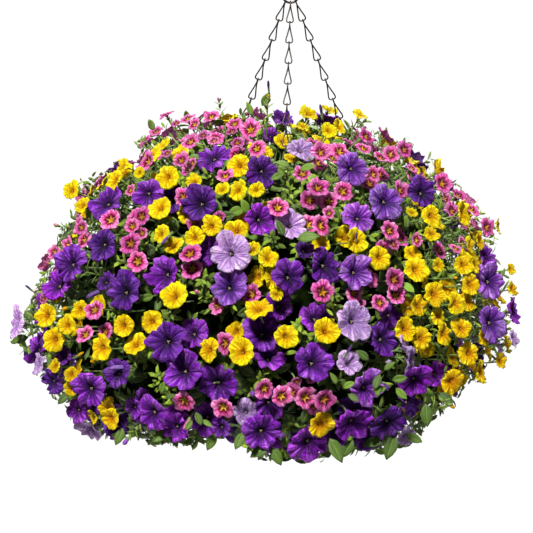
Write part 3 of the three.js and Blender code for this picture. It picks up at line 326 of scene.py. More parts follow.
def blooms_behind():
    draw = draws(41)
    blooms = []
    for i in range(BACK_SPIRAL):
        elevation = math.asin(BACK_TOP - BACK_SPAN * (i + 0.5) / BACK_SPIRAL)
        at = point_on(MOUND, i * GOLDEN_ANGLE, elevation)
        drawn = [next(draw) for _ in range(4)]
        if outward(at) @ SIGHT >= BACK_EDGE:
            blooms.append(bloom_behind(at, *drawn))
    return blooms


def throat_of(bloom):
    return bloom["at"] - bloom["facing"] * bloom["cup"]


def tube_end_of(bloom):
    return throat_of(bloom) - bloom["facing"] * bloom["shell"]


NEAREST = 6  # corners of the frame that are looked at round each throat
BETTER = 0.05  # mm by which another step back has to fit better
ON_FRAME = 1  # mm at most between a throat and the frame


def settle_on_frame(blooms):
    """Sets each bloom back as far as the CAD did, and finds the spray node that it belongs to."""
    sprays = [name for name in sorted(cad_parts) if "_spray_" in name]
    corners = [(vertex.co / MM, name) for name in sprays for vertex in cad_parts[name].data.vertices]
    tree = KDTree(len(corners))
    for i, (corner, _) in enumerate(corners):
        tree.insert(corner, i)
    tree.balance()
    for bloom in blooms:
        home = bloom["at"]
        own = KINDS[bloom["kind"]]["node"]
        best = None
        for step in range(SET_BACK_STEPS + 2):
            bloom["at"] = home + bloom["back"] * SET_BACK * step
            found = tree.find_n(Vector(throat_of(bloom)), NEAREST)
            near = [(gap, corners[i][1]) for _, i, gap in found if corners[i][1].startswith(own)]
            if near and (best is None or near[0][0] < best[0] - BETTER):
                best = (*near[0], bloom["at"])
        bloom["at"] = best[2] if best and best[0] < ON_FRAME else home
        bloom["spray"] = best[1] if best else own + "_01"
    return blooms


# More blooms round the back and top, closer set, as full as the front.
FILL_SPIRAL = 620
FILL_TOP = 0.985  # the sine of the spiral's highest place, and how far that falls
FILL_SPAN = 1.72
FILL_STRAY = 0.05
FILL_SUNK = (0, 14)  # under the mound's surface, mm
FILL_EDGE = 0.22  # none where it would show over the front's outline
FILL_APART = 0.86  # of the two radii together
FILL_SIZE = 0.92
FILL_SHARE = 0.9
FRONT_DEPTH = (18, 44)  # half hidden blooms stand this far under the front's, mm


def blooms_between(blooms):
    rng = random.Random(7)
    added = []
    for i in range(FILL_SPIRAL):
        elevation = math.asin(FILL_TOP - FILL_SPAN * (i + 0.5) / FILL_SPIRAL)
        at = point_on(MOUND, i * GOLDEN_ANGLE + rng.uniform(-FILL_STRAY, FILL_STRAY), elevation)
        out = outward(at)
        bloom = bloom_behind(at, *(rng.random() for _ in range(4)))
        bloom["at"] = at - out * rng.uniform(*FILL_SUNK)
        if out @ SIGHT < FILL_EDGE:
            near = min(blooms, key=lambda other: np.linalg.norm(other["at"] - at))
            kind = "purple" if near["kind"] == "lavender" else near["kind"]
            bloom = make_bloom(kind, at, bloom["facing"], -out, FILL_SIZE * KINDS[kind]["diameter"])
            bloom["at"] = at - out * rng.uniform(*FRONT_DEPTH)
        gaps = (np.linalg.norm(other["at"] - bloom["at"]) - FILL_APART * (other["radius"] + bloom["radius"])
                for other in blooms + added)
        if min(gaps) > 0 and rng.random() < FILL_SHARE:
            added.append(bloom)
    return added


# ---- materials
def linear(code):
    """A linear colour from an sRGB hex value."""
    channels = (int(code[i:i + 2], 16) / 255 for i in (1, 3, 5))
    return tuple(c / 12.92 if c <= 0.04045 else ((c + 0.055) / 1.055) ** 2.4 for c in channels) + (1.0,)


def add(tree, kind, links=(), out=0, stops=(), **settings):
    """Adds a node with its settings, its ramp's stops, and the values or outputs that its inputs take.
    Its kind may carry its operation, as in Math.SINE."""
    kind, _, operation = kind.partition(".")
    node = tree.nodes.new("ShaderNode" + kind)
    if operation:
        node.operation = operation
    for name, value in settings.items():
        setattr(node, name, value)
    for i, (place, code) in enumerate(stops):
        element = node.color_ramp.elements[i] if i < 2 else node.color_ramp.elements.new(place)
        element.position = place
        element.color = linear(code)
    for name, value in (links.items() if isinstance(links, dict) else enumerate(links)):
        if isinstance(value, bpy.types.NodeSocket):
            tree.links.new(value, node.inputs[name])
        else:
            node.inputs[name].default_value = value
    return node.outputs[out] if node.outputs else node


def new_material(name, **finish):
    """A material with its shader's plain values set on the shader's own sockets."""
    material = bpy.data.materials.new(name)
    material.use_nodes = True
    shader = material.node_tree.nodes["Principled BSDF"]
    for socket, value in finish.items():
        shader.inputs[socket.replace("_", " ")].default_value = value
    return material, material.node_tree, shader


# Petals: soft thin tissue with a velvet bloom. The colour runs out from the throat in rings,
# finer veins run from the throat to the rim, pale patches between them are painted highlights, and each bloom
# has its own tint.
PETAL_LOOKS = {
    "purple": {
        "front": [(0.0, "#3a2a26"), (0.06, "#7d6268"), (0.11, "#16031e"), (0.26, "#3e0462"), (0.6, "#660c9c"),
                  (1.0, "#8628bc")],
        "back": "#5c3c80", "vein": "#1a0434", "vein_share": 0.95, "hue": 0.035, "value": (0.5, 1.3),
        "velvet": 0.02, "painted_highlight": "#aa5ede", "painted_highlight_share": 0.8, "crumple": 1.8,
    },
    "violet": {
        "front": [(0.0, "#4a3a34"), (0.06, "#8f7478"), (0.11, "#260838"), (0.26, "#501c80"),
                  (0.62, "#8232b4"), (1.0, "#a25ed2")],
        "back": "#74549c", "vein": "#260850", "vein_share": 0.9, "hue": 0.025, "value": (0.72, 1.2),
        "velvet": 0.02, "painted_highlight": "#b488de", "painted_highlight_share": 0.8, "crumple": 1.5,
    },
    "lavender": {
        "front": [(0.0, "#6d6a40"), (0.055, "#c8cc9c"), (0.1, "#4c2a66"), (0.2, "#ac8ac4"), (0.55, "#b88cd2"),
                  (1.0, "#cca8e6")],
        "back": "#ac92c4", "vein": "#7442a6", "vein_share": 0.7, "hue": 0.015, "value": (0.8, 1.1),
        "velvet": 0.05, "painted_highlight": "#e2caf2", "painted_highlight_share": 0.5, "crumple": 1.2,
    },
    "yellow": {
        "front": [(0.0, "#3c2004"), (0.08, "#7a4a04"), (0.18, "#cc8600"), (0.42, "#f4b800"),
                  (0.75, "#fed000"), (1.0, "#ffdc00")],
        "back": "#e0ac00", "vein": "#d08000", "vein_share": 0.55, "hue": 0.035, "value": (0.8, 1.1),
        "velvet": 0.0, "painted_highlight": "#ffec38", "painted_highlight_share": 0.45, "crumple": 0.8,
    },
    "pink": {
        "front": [(0.0, "#ffe400"), (0.15, "#ffc000"), (0.2, "#f8a400"), (0.225, "#24040c"), (0.4, "#44041c"),
                  (0.5, "#b8185e"), (0.6, "#ee46a6"), (1.0, "#ff7acc")],
        "back": "#d868a0", "vein": "#a80e60", "vein_share": 0.7, "hue": 0.025, "value": (0.68, 1.22),
        "velvet": 0.0, "painted_highlight": "#ffb4e6", "painted_highlight_share": 0.55, "crumple": 0.6,
    },
}
VEINS_ROUND = 8.5  # noise cells round the throat: veins of about 1 mm, as on the flower
VEINS_ALONG = 1.4  # cells from throat to rim, so that each vein runs unbroken
BLOOM_SHIFT = 37.0  # moves the pattern on from bloom to bloom
VEIN_EDGE = (0.47, 0.6)
VEIN_FADE = (0.35, 1.05, 1.0, 0.25)  # veins are full to the first radius and faint at the second
CREASE_SHARP = 30.0  # a petal's middle crease line is this narrow, and this dark: partly its main vein, partly painted shade in the crease
CREASE_SHARE = 0.8
BACK_VEINS = 0.6  # veins show less on the back
STAR_POINTS = 0.56  # how far the star reaches along each petal
STAR_FADE = (0.42, 0.6)
PAINTED_HIGHLIGHT_EDGE = (0.42, 0.68, 0.0)  # painted highlights: pale patches between the veins, in noise values
PAINTED_HIGHLIGHT_REACH = (0.3, 0.7)
CRUMPLE_SCALE = 3.2  # cells in a radius: creases of about 8 mm on a petunia
PETAL_RELIEF = 0.0042
VEIN_RELIEF = -0.7
GREEN_TUBE = "#8a9a4a"  # the tube's foot, seen from the back
TUBE_END = 0.22


def petal_materials(kind, look):
    """The front and the back of a kind's petals."""
    made = []
    for face in ("front", "back"):
        material, tree, shader = new_material(
            f"{kind}_petal_{face}", Roughness=0.7, IOR=1.4, Specular_IOR_Level=0.14,
            Sheen_Weight=look["velvet"], Sheen_Roughness=0.4, Subsurface_Weight=0.3,
            Subsurface_Radius=(1.0, 0.7, 1.0), Subsurface_Scale=0.002)
        flat = add(tree, "UVMap", uv_map="flower")
        tint = add(tree, "Attribute", out="Fac", attribute_name="tint")
        length = add(tree, "VectorMath.LENGTH", [flat], out="Value")
        heading = add(tree, "VectorMath.NORMALIZE", [flat])
        across = add(tree, "SeparateXYZ", [flat])
        angle = add(tree, "Math.ARCTAN2", [across.node.outputs["Y"], across])
        # Veins: a noise that is stretched along the radius and tight round the throat.
        around = add(tree, "VectorMath.SCALE", {0: heading, 3: VEINS_ROUND})
        along = add(tree, "Math.MULTIPLY", [length, VEINS_ALONG])
        along = add(tree, "Math.MULTIPLY_ADD", [tint, BLOOM_SHIFT, along])
        lift = add(tree, "CombineXYZ", {"Z": along})
        streaks = add(tree, "VectorMath.ADD", [around, lift])
        noise = add(tree, "TexNoise", {"Vector": streaks, "Scale": 1.0, "Detail": 4.0, "Roughness": 0.7})
        vein = add(tree, "MapRange", [noise, *VEIN_EDGE], clamp=True)
        # The dark line along each petal's middle crease is partly its main vein and partly painted shade in
        # the crease.
        crease = add(tree, "Math.MULTIPLY", [angle, 5.0])
        crease = add(tree, "Math.COSINE", [crease])
        crease = add(tree, "Math.MULTIPLY_ADD", [crease, 0.5, 0.5])
        crease = add(tree, "Math.POWER", [crease, CREASE_SHARP])
        crease = add(tree, "Math.MULTIPLY", [crease, CREASE_SHARE])
        veined = add(tree, "Math.MAXIMUM", [vein, crease])
        fade = add(tree, "MapRange", [length, *VEIN_FADE], clamp=True)
        share = add(tree, "Math.MULTIPLY", [veined, fade])
        shown = look["vein_share"] * (1 if face == "front" else BACK_VEINS)
        share = add(tree, "Math.MULTIPLY", [share, shown])
        reach = length
        stops = look["front"]
        if face == "back":
            stops = [(0.0, GREEN_TUBE), (TUBE_END, look["back"]), (1.0, look["back"])]
        elif kind == "pink":
            # The star's points run out along the middle of each petal.
            spike = add(tree, "Math.MULTIPLY", [angle, 2.5])
            spike = add(tree, "Math.SINE", [spike])
            spike = add(tree, "Math.ABSOLUTE", [spike])
            inner = add(tree, "Math.MULTIPLY_ADD", [spike, STAR_POINTS, 1 - STAR_POINTS])
            inner = add(tree, "Math.MULTIPLY", [length, inner])
            blend = add(tree, "MapRange", [length, *STAR_FADE], clamp=True)
            reach = add(tree, "Mix", {0: blend, 2: inner, 3: length}, data_type="FLOAT")
        base = add(tree, "ValToRGB", [reach], stops=stops)
        # Painted highlight: pale patches between the veins, where puffed-up tissue would catch the light.
        patches = add(tree, "TexNoise", {"Vector": streaks, "Scale": 0.45, "Detail": 1.0})
        painted_highlight = add(tree, "MapRange", [patches, *PAINTED_HIGHLIGHT_EDGE, look["painted_highlight_share"]], clamp=True)
        outer = add(tree, "MapRange", [length, *PAINTED_HIGHLIGHT_REACH], clamp=True)
        painted_highlight = add(tree, "Math.MULTIPLY", [painted_highlight, outer])
        colour = add(tree, "Mix", {0: painted_highlight, 6: base, 7: linear(look["painted_highlight"])}, out=2, data_type="RGBA")
        colour = add(tree, "Mix", {0: share, 6: colour, 7: linear(look["vein"])}, out=2, data_type="RGBA")
        low, high = look["value"]
        # The tint sets hue and value; on yellow blooms it carries painted light from their height.
        hue = add(tree, "Math.MULTIPLY_ADD", [tint, look["hue"], 0.5 - look["hue"] / 2])
        value = add(tree, "Math.MULTIPLY_ADD", [tint, high - low, low])
        colour = add(tree, "HueSaturation", {"Hue": hue, "Value": value, "Color": colour})
        tree.links.new(colour, shader.inputs["Base Color"])
        place = add(tree, "VectorMath.ADD", [flat, lift])
        crumple = add(tree, "TexNoise", {"Vector": place, "Scale": CRUMPLE_SCALE, "Detail": 2.0})
        relief = add(tree, "Math.MULTIPLY", [crumple, look["crumple"]])
        relief = add(tree, "Math.MULTIPLY_ADD", [veined, VEIN_RELIEF, relief])
        bump = add(tree, "Bump", {"Height": relief, "Strength": 1.0, "Distance": PETAL_RELIEF})
        tree.links.new(bump, shader.inputs["Normal"])
        made.append(material)
    return made


# Leaves: soft green tissue, darker and a little glossy above, paler and dull below, with a light
# midrib and side veins. Petunia leaves are felted with fine hairs, which show as a pale sheen.
LEAF_LOOKS = {
    "petunia_leaf": {"top": ("#183408", "#749a1e"), "under": ("#55742e", "#88a24a"), "rib": "#8aa63c",
                     "gloss": 0.5, "felt": 0.1},
    "calibrachoa_leaf": {"top": ("#1e3e08", "#a0c22c"), "under": ("#527028", "#98b048"), "rib": "#b0c650",
                         "gloss": 0.4, "felt": 0.05},
}
LEAF_GRAIN = 900  # per metre: blotches of about 1 mm, coarse enough to show
LEAF_BLOTCHES = (1.1, 0.42)  # how the grain changes the value
MIDRIB = (0.04, 0.16, 1.0, 0.0)  # its core and its edge, in half widths
SIDE_VEINS = 44.0  # fourteen pairs, which slant towards the tip
VEIN_SLANT = -9.0
SIDE_SHARP = 10.0
SIDE_SHARE = 0.45
RIB_SHARE = 0.36


def leaf_materials(name, look):
    made = []
    for face in ("top", "under"):
        material, tree, shader = new_material(
            f"{name}_{face}", Roughness=look["gloss"], IOR=1.42, Sheen_Weight=look["felt"],
            Subsurface_Weight=0.08, Subsurface_Radius=(0.6, 1.0, 0.3), Subsurface_Scale=0.0012)
        flat = add(tree, "UVMap", uv_map="flower")
        tint = add(tree, "Attribute", out="Fac", attribute_name="tint")
        where = add(tree, "TexCoord", out="Object")
        grain = add(tree, "TexNoise", {"Vector": where, "Scale": LEAF_GRAIN, "Detail": 2.0})
        across = add(tree, "SeparateXYZ", [flat])
        off = add(tree, "Math.ABSOLUTE", [across])
        rib = add(tree, "MapRange", [off, *MIDRIB], clamp=True)
        side = add(tree, "Math.MULTIPLY", [across.node.outputs["Y"], SIDE_VEINS])
        side = add(tree, "Math.MULTIPLY_ADD", [off, VEIN_SLANT, side])
        side = add(tree, "Math.SINE", [side])
        side = add(tree, "Math.ABSOLUTE", [side])
        side = add(tree, "Math.POWER", [side, SIDE_SHARP])
        side = add(tree, "Math.MULTIPLY", [side, SIDE_SHARE])
        veined = add(tree, "Math.MAXIMUM", [rib, side])
        # A leaf's tint runs from the dark colour to the light one; where a tint follows a leaf's depth in the
        # growth, its dark end is painted shade.
        dark, light = look[face]
        colour = add(tree, "Mix", {0: tint, 6: linear(dark), 7: linear(light)}, out=2, data_type="RGBA")
        share = add(tree, "Math.MULTIPLY", [veined, RIB_SHARE])
        colour = add(tree, "Mix", {0: share, 6: colour, 7: linear(look["rib"])}, out=2, data_type="RGBA")
        value = add(tree, "Math.MULTIPLY_ADD", [grain, *LEAF_BLOTCHES])
        colour = add(tree, "HueSaturation", {"Value": value, "Color": colour})
        tree.links.new(colour, shader.inputs["Base Color"])
        sunk = add(tree, "Math.MULTIPLY", [veined, -1.0])
        bump = add(tree, "Bump", {"Height": sunk, "Strength": 0.8, "Distance": 0.0012})
        tree.links.new(bump, shader.inputs["Normal"])
        made.append(material)
    return made


def mottled(name, dark, light, scale, depth, **finish):
    """A plain natural surface: two colours in blotches, with the same blotches in its relief."""
    material, tree, shader = new_material(name, **finish)
    where = add(tree, "TexCoord", out="Object")
    noise = add(tree, "TexNoise", {"Vector": where, "Scale": scale, "Detail": 4.0, "Roughness": 0.6})
    colour = add(tree, "ValToRGB", [noise], stops=[(0.3, dark), (0.7, light)])
    tree.links.new(colour, shader.inputs["Base Color"])
    bump = add(tree, "Bump", {"Height": noise, "Strength": 0.6, "Distance": depth})
    tree.links.new(bump, shader.inputs["Normal"])
    return material


PETALS = {kind: petal_materials(kind, look) for kind, look in PETAL_LOOKS.items()}
LEAF_SKINS = {name: leaf_materials(name, look) for name, look in LEAF_LOOKS.items()}
# Green stems and sepals: pale, downy.
STEM_SKIN = mottled("green_stem", "#3c5c1c", "#7c963c", 220, 0.0004, Roughness=0.6, Sheen_Weight=0.2)
# The inside of the growth: crowded stems and leaves in deep shade, near black green.
SHADE_SKIN = mottled("shaded_inner_growth", "#040803", "#142008", 120, 0.006, Roughness=0.95,
                     Specular_IOR_Level=0.0)
# Anthers and stigma in the throat.
ANTHER_SKIN = mottled("petunia_anther", "#5c4a3c", "#a8947c", 900, 0.0002, Roughness=0.7)
POLLEN_SKIN = mottled("calibrachoa_anther", "#a87400", "#e0a800", 900, 0.0002, Roughness=0.7)
THROATS = {kind: POLLEN_SKIN if kind in ("yellow", "pink") else ANTHER_SKIN for kind in KINDS}
# Potting soil: peat with bark and lighter grit, dull.
SOIL_SKIN = mottled("potting_soil", "#1c120b", "#4a3626", 260, 0.003, Roughness=0.95)
# Moulded polypropylene pot, dark, faintly streaked, with a satin skin.
POT_SKIN = mottled("moulded_polypropylene", "#232421", "#30312d", 90, 0.0003, Roughness=0.42)
# Steel wire, oiled black: dark brown with worn grey glints.
WIRE_SKIN = mottled("blackened_steel_wire", "#17130f", "#4a443c", 400, 0.0002, Roughness=0.38, Metallic=0.75)


# ---- mesh making
def finished(name, mesh, replaced=(), skins=()):
    """Puts a finished mesh in the scene: its place is in the mesh, and it rides on the basket."""
    mesh.name = name
    piece = bpy.data.objects.new(name, mesh)
    bpy.context.scene.collection.objects.link(piece)
    for skin in skins:
        mesh.materials.append(skin)
    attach(piece, "root")
    if replaced:
        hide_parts(*replaced)
    return piece


def mesh_of(bm):
    mesh = bpy.data.meshes.new("shape")
    bm.to_mesh(mesh)
    bm.free()
    mesh.attributes.new("tint", "FLOAT", "POINT")
    mesh.shade_smooth()
    return mesh


def place_of(at, facing, spin=0.0, scale=1.0):
    """The placing of a shape that faces its own +Z: turned, scaled and set in metres."""
    u, v = square_to(facing)
    x = u * math.cos(spin) + v * math.sin(spin)
    columns = Matrix((x, np.cross(facing, x), facing)).transposed().to_4x4()
    return Matrix.Translation(Vector(at) * MM) @ columns @ Matrix.Scale(scale * MM, 4)


def stamp(target, shape, place, tint):
    """Adds a placed copy of a shape to a growing mesh."""
    copy = shape.copy()
    copy.transform(place)
    copy.attributes["tint"].data.foreach_set("value", [tint] * len(copy.vertices))
    target.from_mesh(copy)
    bpy.data.meshes.remove(copy)


def piece_from(name, target, skins, replaced=()):
    mesh = bpy.data.meshes.new(name)
    target.to_mesh(mesh)
    target.free()
    return finished(name, mesh, replaced, skins)


def lathe(bm, profile, steps, seam=0.0):
    """Spins a run of [radius, height] round Z. A seam is the reach within which doubles are merged."""
    verts = [bm.verts.new((radius, 0, height)) for radius, height in profile]
    edges = [bm.edges.new(pair) for pair in zip(verts, verts[1:])]
    bmesh.ops.spin(bm, geom=verts + edges, cent=(0, 0, 0), axis=(0, 0, 1), dvec=(0, 0, 0), angle=TURN,
                   steps=steps, use_merge=True, use_duplicate=False)
    if seam:
        bmesh.ops.remove_doubles(bm, verts=bm.verts[:], dist=seam)


def lay_flat(bm, spot_of_corner):
    """The flat pattern that petals and leaves are coloured by."""
    flat = bm.loops.layers.uv.new("flower")
    for face in bm.faces:
        for loop in face.loops:
            loop[flat].uv = spot_of_corner(loop.vert.co)


SEPAL_WIDTH = 0.09


def add_sepals(bm, shape, first, thickness):
    """Five narrow sepals in a ring; shape gives how far out and up each share of their length lies."""
    for i in range(5):
        sepal = bmesh.ops.create_grid(bm, x_segments=2, y_segments=3, size=1)["verts"]
        for vertex in sepal:
            share = (vertex.co.y + 1) / 2
            width = SEPAL_WIDTH * math.sin(math.pi * min(1, share * 0.8 + 0.2)) ** 0.7
            out, up = shape(share)
            vertex.co = (out, vertex.co.x * width, up)
        turn = Matrix.Rotation(TURN * (i + first) / 5, 3, "Z")
        bmesh.ops.rotate(bm, cent=(0, 0, 0), matrix=turn, verts=sepal)
        faces = list({face for vertex in sepal for face in vertex.link_faces})
        bmesh.ops.solidify(bm, geom=faces, thickness=thickness)


# A corolla spun from its profile: [radius, depth] in radii of the bloom, from the calyx end of the
# tube out through the throat to the rim.
TRUMPET = {
    "petunia": [(0.05, -0.8), (0.1, -0.52), (0.145, -0.36), (0.22, -0.27), (0.31, -0.2), (0.42, -0.14),
                (0.54, -0.09), (0.66, -0.05), (0.78, -0.02), (0.89, -0.005), (1.0, 0.0)],
    "calibrachoa": [(0.05, -0.8), (0.08, -0.6), (0.11, -0.44), (0.15, -0.33), (0.22, -0.24), (0.33, -0.16),
                    (0.47, -0.1), (0.61, -0.055), (0.76, -0.02), (0.89, 0.0), (1.0, 0.0)],
}
FORM_TRAITS = ("profile", "steps", "notch", "round", "ruffle", "fold", "crease", "dent", "full")
FORM_ROWS = {
    "purple": ("petunia", 50, 0.12, 2.4, 0.16, 0.32, 0.11, 0.0, 0.99),
    "violet": ("petunia", 50, 0.11, 2.4, 0.14, 0.3, 0.07, 0.0, 0.99),
    "lavender": ("petunia", 50, 0.13, 2.4, 0.1, 0.24, 0.03, 0.0, 1.0),
    "yellow": ("calibrachoa", 35, 0.1, 2.2, 0.13, 0.24, 0.03, 0.04, 1.02),
    "pink": ("calibrachoa", 35, 0.16, 1.8, 0.08, 0.18, 0.03, 0.05, 1.02),
}
FORMS = {kind: dict(zip(FORM_TRAITS, row)) for kind, row in FORM_ROWS.items()}
VARIANTS = 9
PETAL_THICK = 0.018  # in radii: about 0.4 mm on a petunia
GREEN = 2  # material places after the petal's front and back
ANTHER = 3
OPEN_FROM = 0.15  # the radius at which the tube opens into petals
LOBE = TURN / 5
CREASE_WIDTH = 0.1
WAVES = (6, 7, 8, 9, 11, 12, 13)  # ruffles round the rim
LOBE_LIFT = 0.22
UNEVEN = 0.07
ROLL_FROM = 0.72  # the rim rolls back from here
ROLL = 0.3


def corolla(form, seed):
    """One flower of radius 1 that faces +Z, with its tube, sepals, anthers and a flat UV map."""
    rng = random.Random(seed)
    bm = bmesh.new()
    lathe(bm, TRUMPET[form["profile"]], form["steps"])
    lay_flat(bm, lambda corner: corner.xy)
    lobe_lift = [rng.uniform(-1, 1) for _ in range(5)]
    lobe_reach = [rng.uniform(-1, 1) for _ in range(5)]
    waves = [(rng.choice(WAVES), rng.uniform(0, TURN), rng.uniform(0.4, 1)) for _ in range(4)]
    lean = rng.uniform(0, TURN)
    curl = rng.uniform(-0.24, 0.1)
    for vertex in bm.verts:
        x, y, z = vertex.co
        angle = math.atan2(y, x)
        open_share = max(0.0, (math.hypot(x, y) - OPEN_FROM) / (1 - OPEN_FROM))
        petal = abs(math.cos(2.5 * angle))
        lobe = round(angle / LOBE) % 5
        notch = form["notch"] * (1 - petal) ** form["round"] * 3 ** 0.5
        dent = form["dent"] * max(0.0, petal - 0.86) / 0.14
        reach = form["full"] - (notch + dent) * open_share ** 2
        reach *= 1 + UNEVEN * open_share * (math.sin(angle + lean) + lobe_reach[lobe] * petal)
        wave = sum(size * math.sin(count * angle + phase) for count, phase, size in waves)
        z += form["ruffle"] * 0.5 * wave * open_share ** 2.5
        z += form["fold"] * (petal - 0.6) * open_share * (1.2 - 0.7 * open_share)
        off_crease = ((angle / LOBE + 0.5) % 1 - 0.5) / CREASE_WIDTH
        z -= form["crease"] * math.exp(-off_crease ** 2) * open_share
        z += LOBE_LIFT * lobe_lift[lobe] * petal ** 2 * open_share ** 2
        z += curl * (x * math.cos(lean) + y * math.sin(lean)) ** 2
        z -= ROLL * max(0.0, open_share - ROLL_FROM) ** 1.5 * (1 + 0.9 * math.sin(2 * angle + lean))
        vertex.co = (x * reach, y * reach, z)
    bmesh.ops.recalc_face_normals(bm, faces=bm.faces[:])
    if sum(face.normal.z * face.calc_area() for face in bm.faces) > 0:
        bmesh.ops.reverse_faces(bm, faces=bm.faces[:])
    backs = set(bm.faces)
    bmesh.ops.solidify(bm, geom=bm.faces[:], thickness=PETAL_THICK)
    for face in bm.faces:
        face.material_index = 1 if face in backs else 0
    petals = set(bm.faces)
    end = TRUMPET[form["profile"]][0][1]
    heel = bmesh.ops.create_icosphere(bm, subdivisions=1, radius=0.13)["verts"]
    bmesh.ops.scale(bm, vec=(1, 1, 1.3), verts=heel)
    bmesh.ops.translate(bm, vec=(0, 0, end), verts=heel)
    spread = lambda share: (0.1 + 0.16 * share + 0.1 * share ** 3, end - 0.03 + 0.42 * share)
    add_sepals(bm, spread, 0.5, 0.02)
    for face in bm.faces:
        if face not in petals:
            face.material_index = GREEN
    greens = set(bm.faces)
    for i in range(4):
        anther = bmesh.ops.create_icosphere(bm, subdivisions=1, radius=0.035)["verts"]
        turn = TURN * i / 3 + lean
        spot = (0.055 * math.cos(turn), 0.055 * math.sin(turn), -0.3) if i < 3 else (0, 0, -0.27)
        bmesh.ops.translate(bm, vec=spot, verts=anther)
    for face in bm.faces:
        if face not in greens:
            face.material_index = ANTHER
    return mesh_of(bm)


# Leaves: a grid bent into the blade, 1 long, growing along +X with its upper side to +Z.
BLADES = {
    "petunia_leaf": {"length": 29, "width": 0.52, "columns": 4, "rows": 5, "widest": 0.48, "blunt": 0.75},
    "calibrachoa_leaf": {"length": 17.5, "width": 0.34, "columns": 2, "rows": 4, "widest": 0.55,
                         "blunt": 0.62},
}
LEAF_THICK = 0.4  # mm


def blade(form, seed):
    rng = random.Random(seed)
    bm = bmesh.new()
    bmesh.ops.create_grid(bm, x_segments=form["columns"], y_segments=form["rows"], size=1)
    lay_flat(bm, lambda corner: (corner.x, (corner.y + 1) / 2))
    droop = rng.uniform(0.02, 0.32)
    cup = rng.uniform(0.1, 0.4)
    twist = rng.uniform(-0.5, 0.5)
    bend = rng.uniform(-0.1, 0.1)
    power = math.log(0.5) / math.log(form["widest"])
    for vertex in bm.verts:
        across, up, _ = vertex.co
        share = (up + 1) / 2
        half = form["width"] / 2 * max(0.04, math.sin(math.pi * share ** power) ** form["blunt"])
        side = across * half
        lift = cup * abs(side) - droop * share ** 2 + 0.012 * math.sin(9 * share + seed) * abs(across)
        turn = twist * share
        vertex.co = (share * (1 - 0.1 * droop), side * math.cos(turn) + bend * share ** 2,
                     lift + side * math.sin(turn))
    bm.normal_update()
    if sum(face.normal.z for face in bm.faces) < 0:
        bmesh.ops.reverse_faces(bm, faces=bm.faces[:])
    tops = set(bm.faces)
    bmesh.ops.solidify(bm, geom=bm.faces[:], thickness=LEAF_THICK / form["length"])
    for face in bm.faces:
        face.material_index = 0 if face in tops else 1
    return mesh_of(bm)


BUD_PROFILE = [(0.0, -0.02), (0.09, 0.02), (0.13, 0.16), (0.14, 0.36), (0.19, 0.58), (0.2, 0.74),
               (0.13, 0.92), (0.0, 1.0)]
BUD_STEPS = 10
PLEAT = 0.22
WOUND = 1.2  # radians from the foot to the tip


def closed_bud():
    """A furled bud of length 1 that points to +Z, pleated and wound, in its green sepals."""
    bm = bmesh.new()
    lathe(bm, BUD_PROFILE, BUD_STEPS, seam=0.001)
    lay_flat(bm, lambda corner: (0.5 + corner.x, 0.5 + corner.y))
    for vertex in bm.verts:
        x, y, z = vertex.co
        pleat = 1 + PLEAT * math.cos(5 * math.atan2(y, x)) * z
        wound = WOUND * z
        vertex.co = (pleat * (x * math.cos(wound) - y * math.sin(wound)),
                     pleat * (x * math.sin(wound) + y * math.cos(wound)), z)
    bmesh.ops.recalc_face_normals(bm, faces=bm.faces[:])
    petals = set(bm.faces)
    add_sepals(bm, lambda share: (0.08 + 0.14 * share, 0.5 * share - 0.02), 0, 0.025)
    for face in bm.faces:
        face.material_index = 0 if face in petals else 1
    return mesh_of(bm)


EXTRA_STEPS = {"petunia": 35, "calibrachoa": 25}
LEAF_VARIANTS = 8
COROLLAS = {}
EXTRA_COROLLAS = {}  # with fewer steps, for the blooms that are half hidden
for kind, form in FORMS.items():
    fewer = {**form, "steps": EXTRA_STEPS[form["profile"]]}
    COROLLAS[kind] = [corolla(form, 100 + i) for i in range(VARIANTS)]
    EXTRA_COROLLAS[kind] = [corolla(fewer, 100 + i) for i in range(VARIANTS)]
LEAVES = {name: [blade(form, 200 + i) for i in range(LEAF_VARIANTS)] for name, form in BLADES.items()}

# ---- the blooms
TUCK = 4  # blooms that show past the front's outline are tucked in, mm
TUCKS = 8
BLOOM_INSIDE = -0.04  # blooms stay this far inside the outline, in shares of its size
EXTRA_INSIDE = -0.05  # and extra ones this far
LOW_ROW = 395  # and twice as far below this pixel row
TOP_ROW = 150  # above this pixel row extra blooms are of the kinds that show there
TOP_SIZE = 0.9
CAVITY_MOUTH = 172  # the space round the pot is open from below
CAVITY_TOP = -470
MOUTH_ROOM = 20
FRONT_CHAIN_COLUMN = 281  # the front chain shows down to a pixel row, before the blooms
FRONT_CHAIN_LOW = 160
FRONT_CHAIN_DEPTH = 2600
FRONT_CHAIN_ROOM = 14
# Two petunias that are seen from the side, low on the right: place, heading in the view and width, mm.
SIDE_ON = [(411, 360, 350, 34), (406, 347, 20, 30)]
SIDE_ON_AHEAD = 0.3
SIDE_ON_BEFORE = 8  # mm before the mound's surface


def spot_of(bloom):
    return project(bloom["at"][None])[0]


def tuck_in(bloom, inside):
    """Moves a bloom into the growth until it shows inside the outline."""
    for _ in range(TUCKS):
        if not in_outline(spot_of(bloom)[None], inside):
            bloom["at"] = bloom["at"] - outward(bloom["at"]) * TUCK


def hides_chain(bloom):
    """Whether a bloom stands before the part of the front chain that the photograph's view shows."""
    spot = spot_of(bloom)
    beside = abs(spot[0] - FRONT_CHAIN_COLUMN) < FRONT_CHAIN_ROOM
    above = spot[1] < FRONT_CHAIN_LOW + FRONT_CHAIN_ROOM
    return beside and above and (bloom["at"] - EYE_POINT) @ SIGHT < FRONT_CHAIN_DEPTH


def is_under_pot(bloom):
    return math.hypot(*bloom["at"][:2]) < CAVITY_MOUTH + MOUTH_ROOM and bloom["at"][2] < CAVITY_TOP


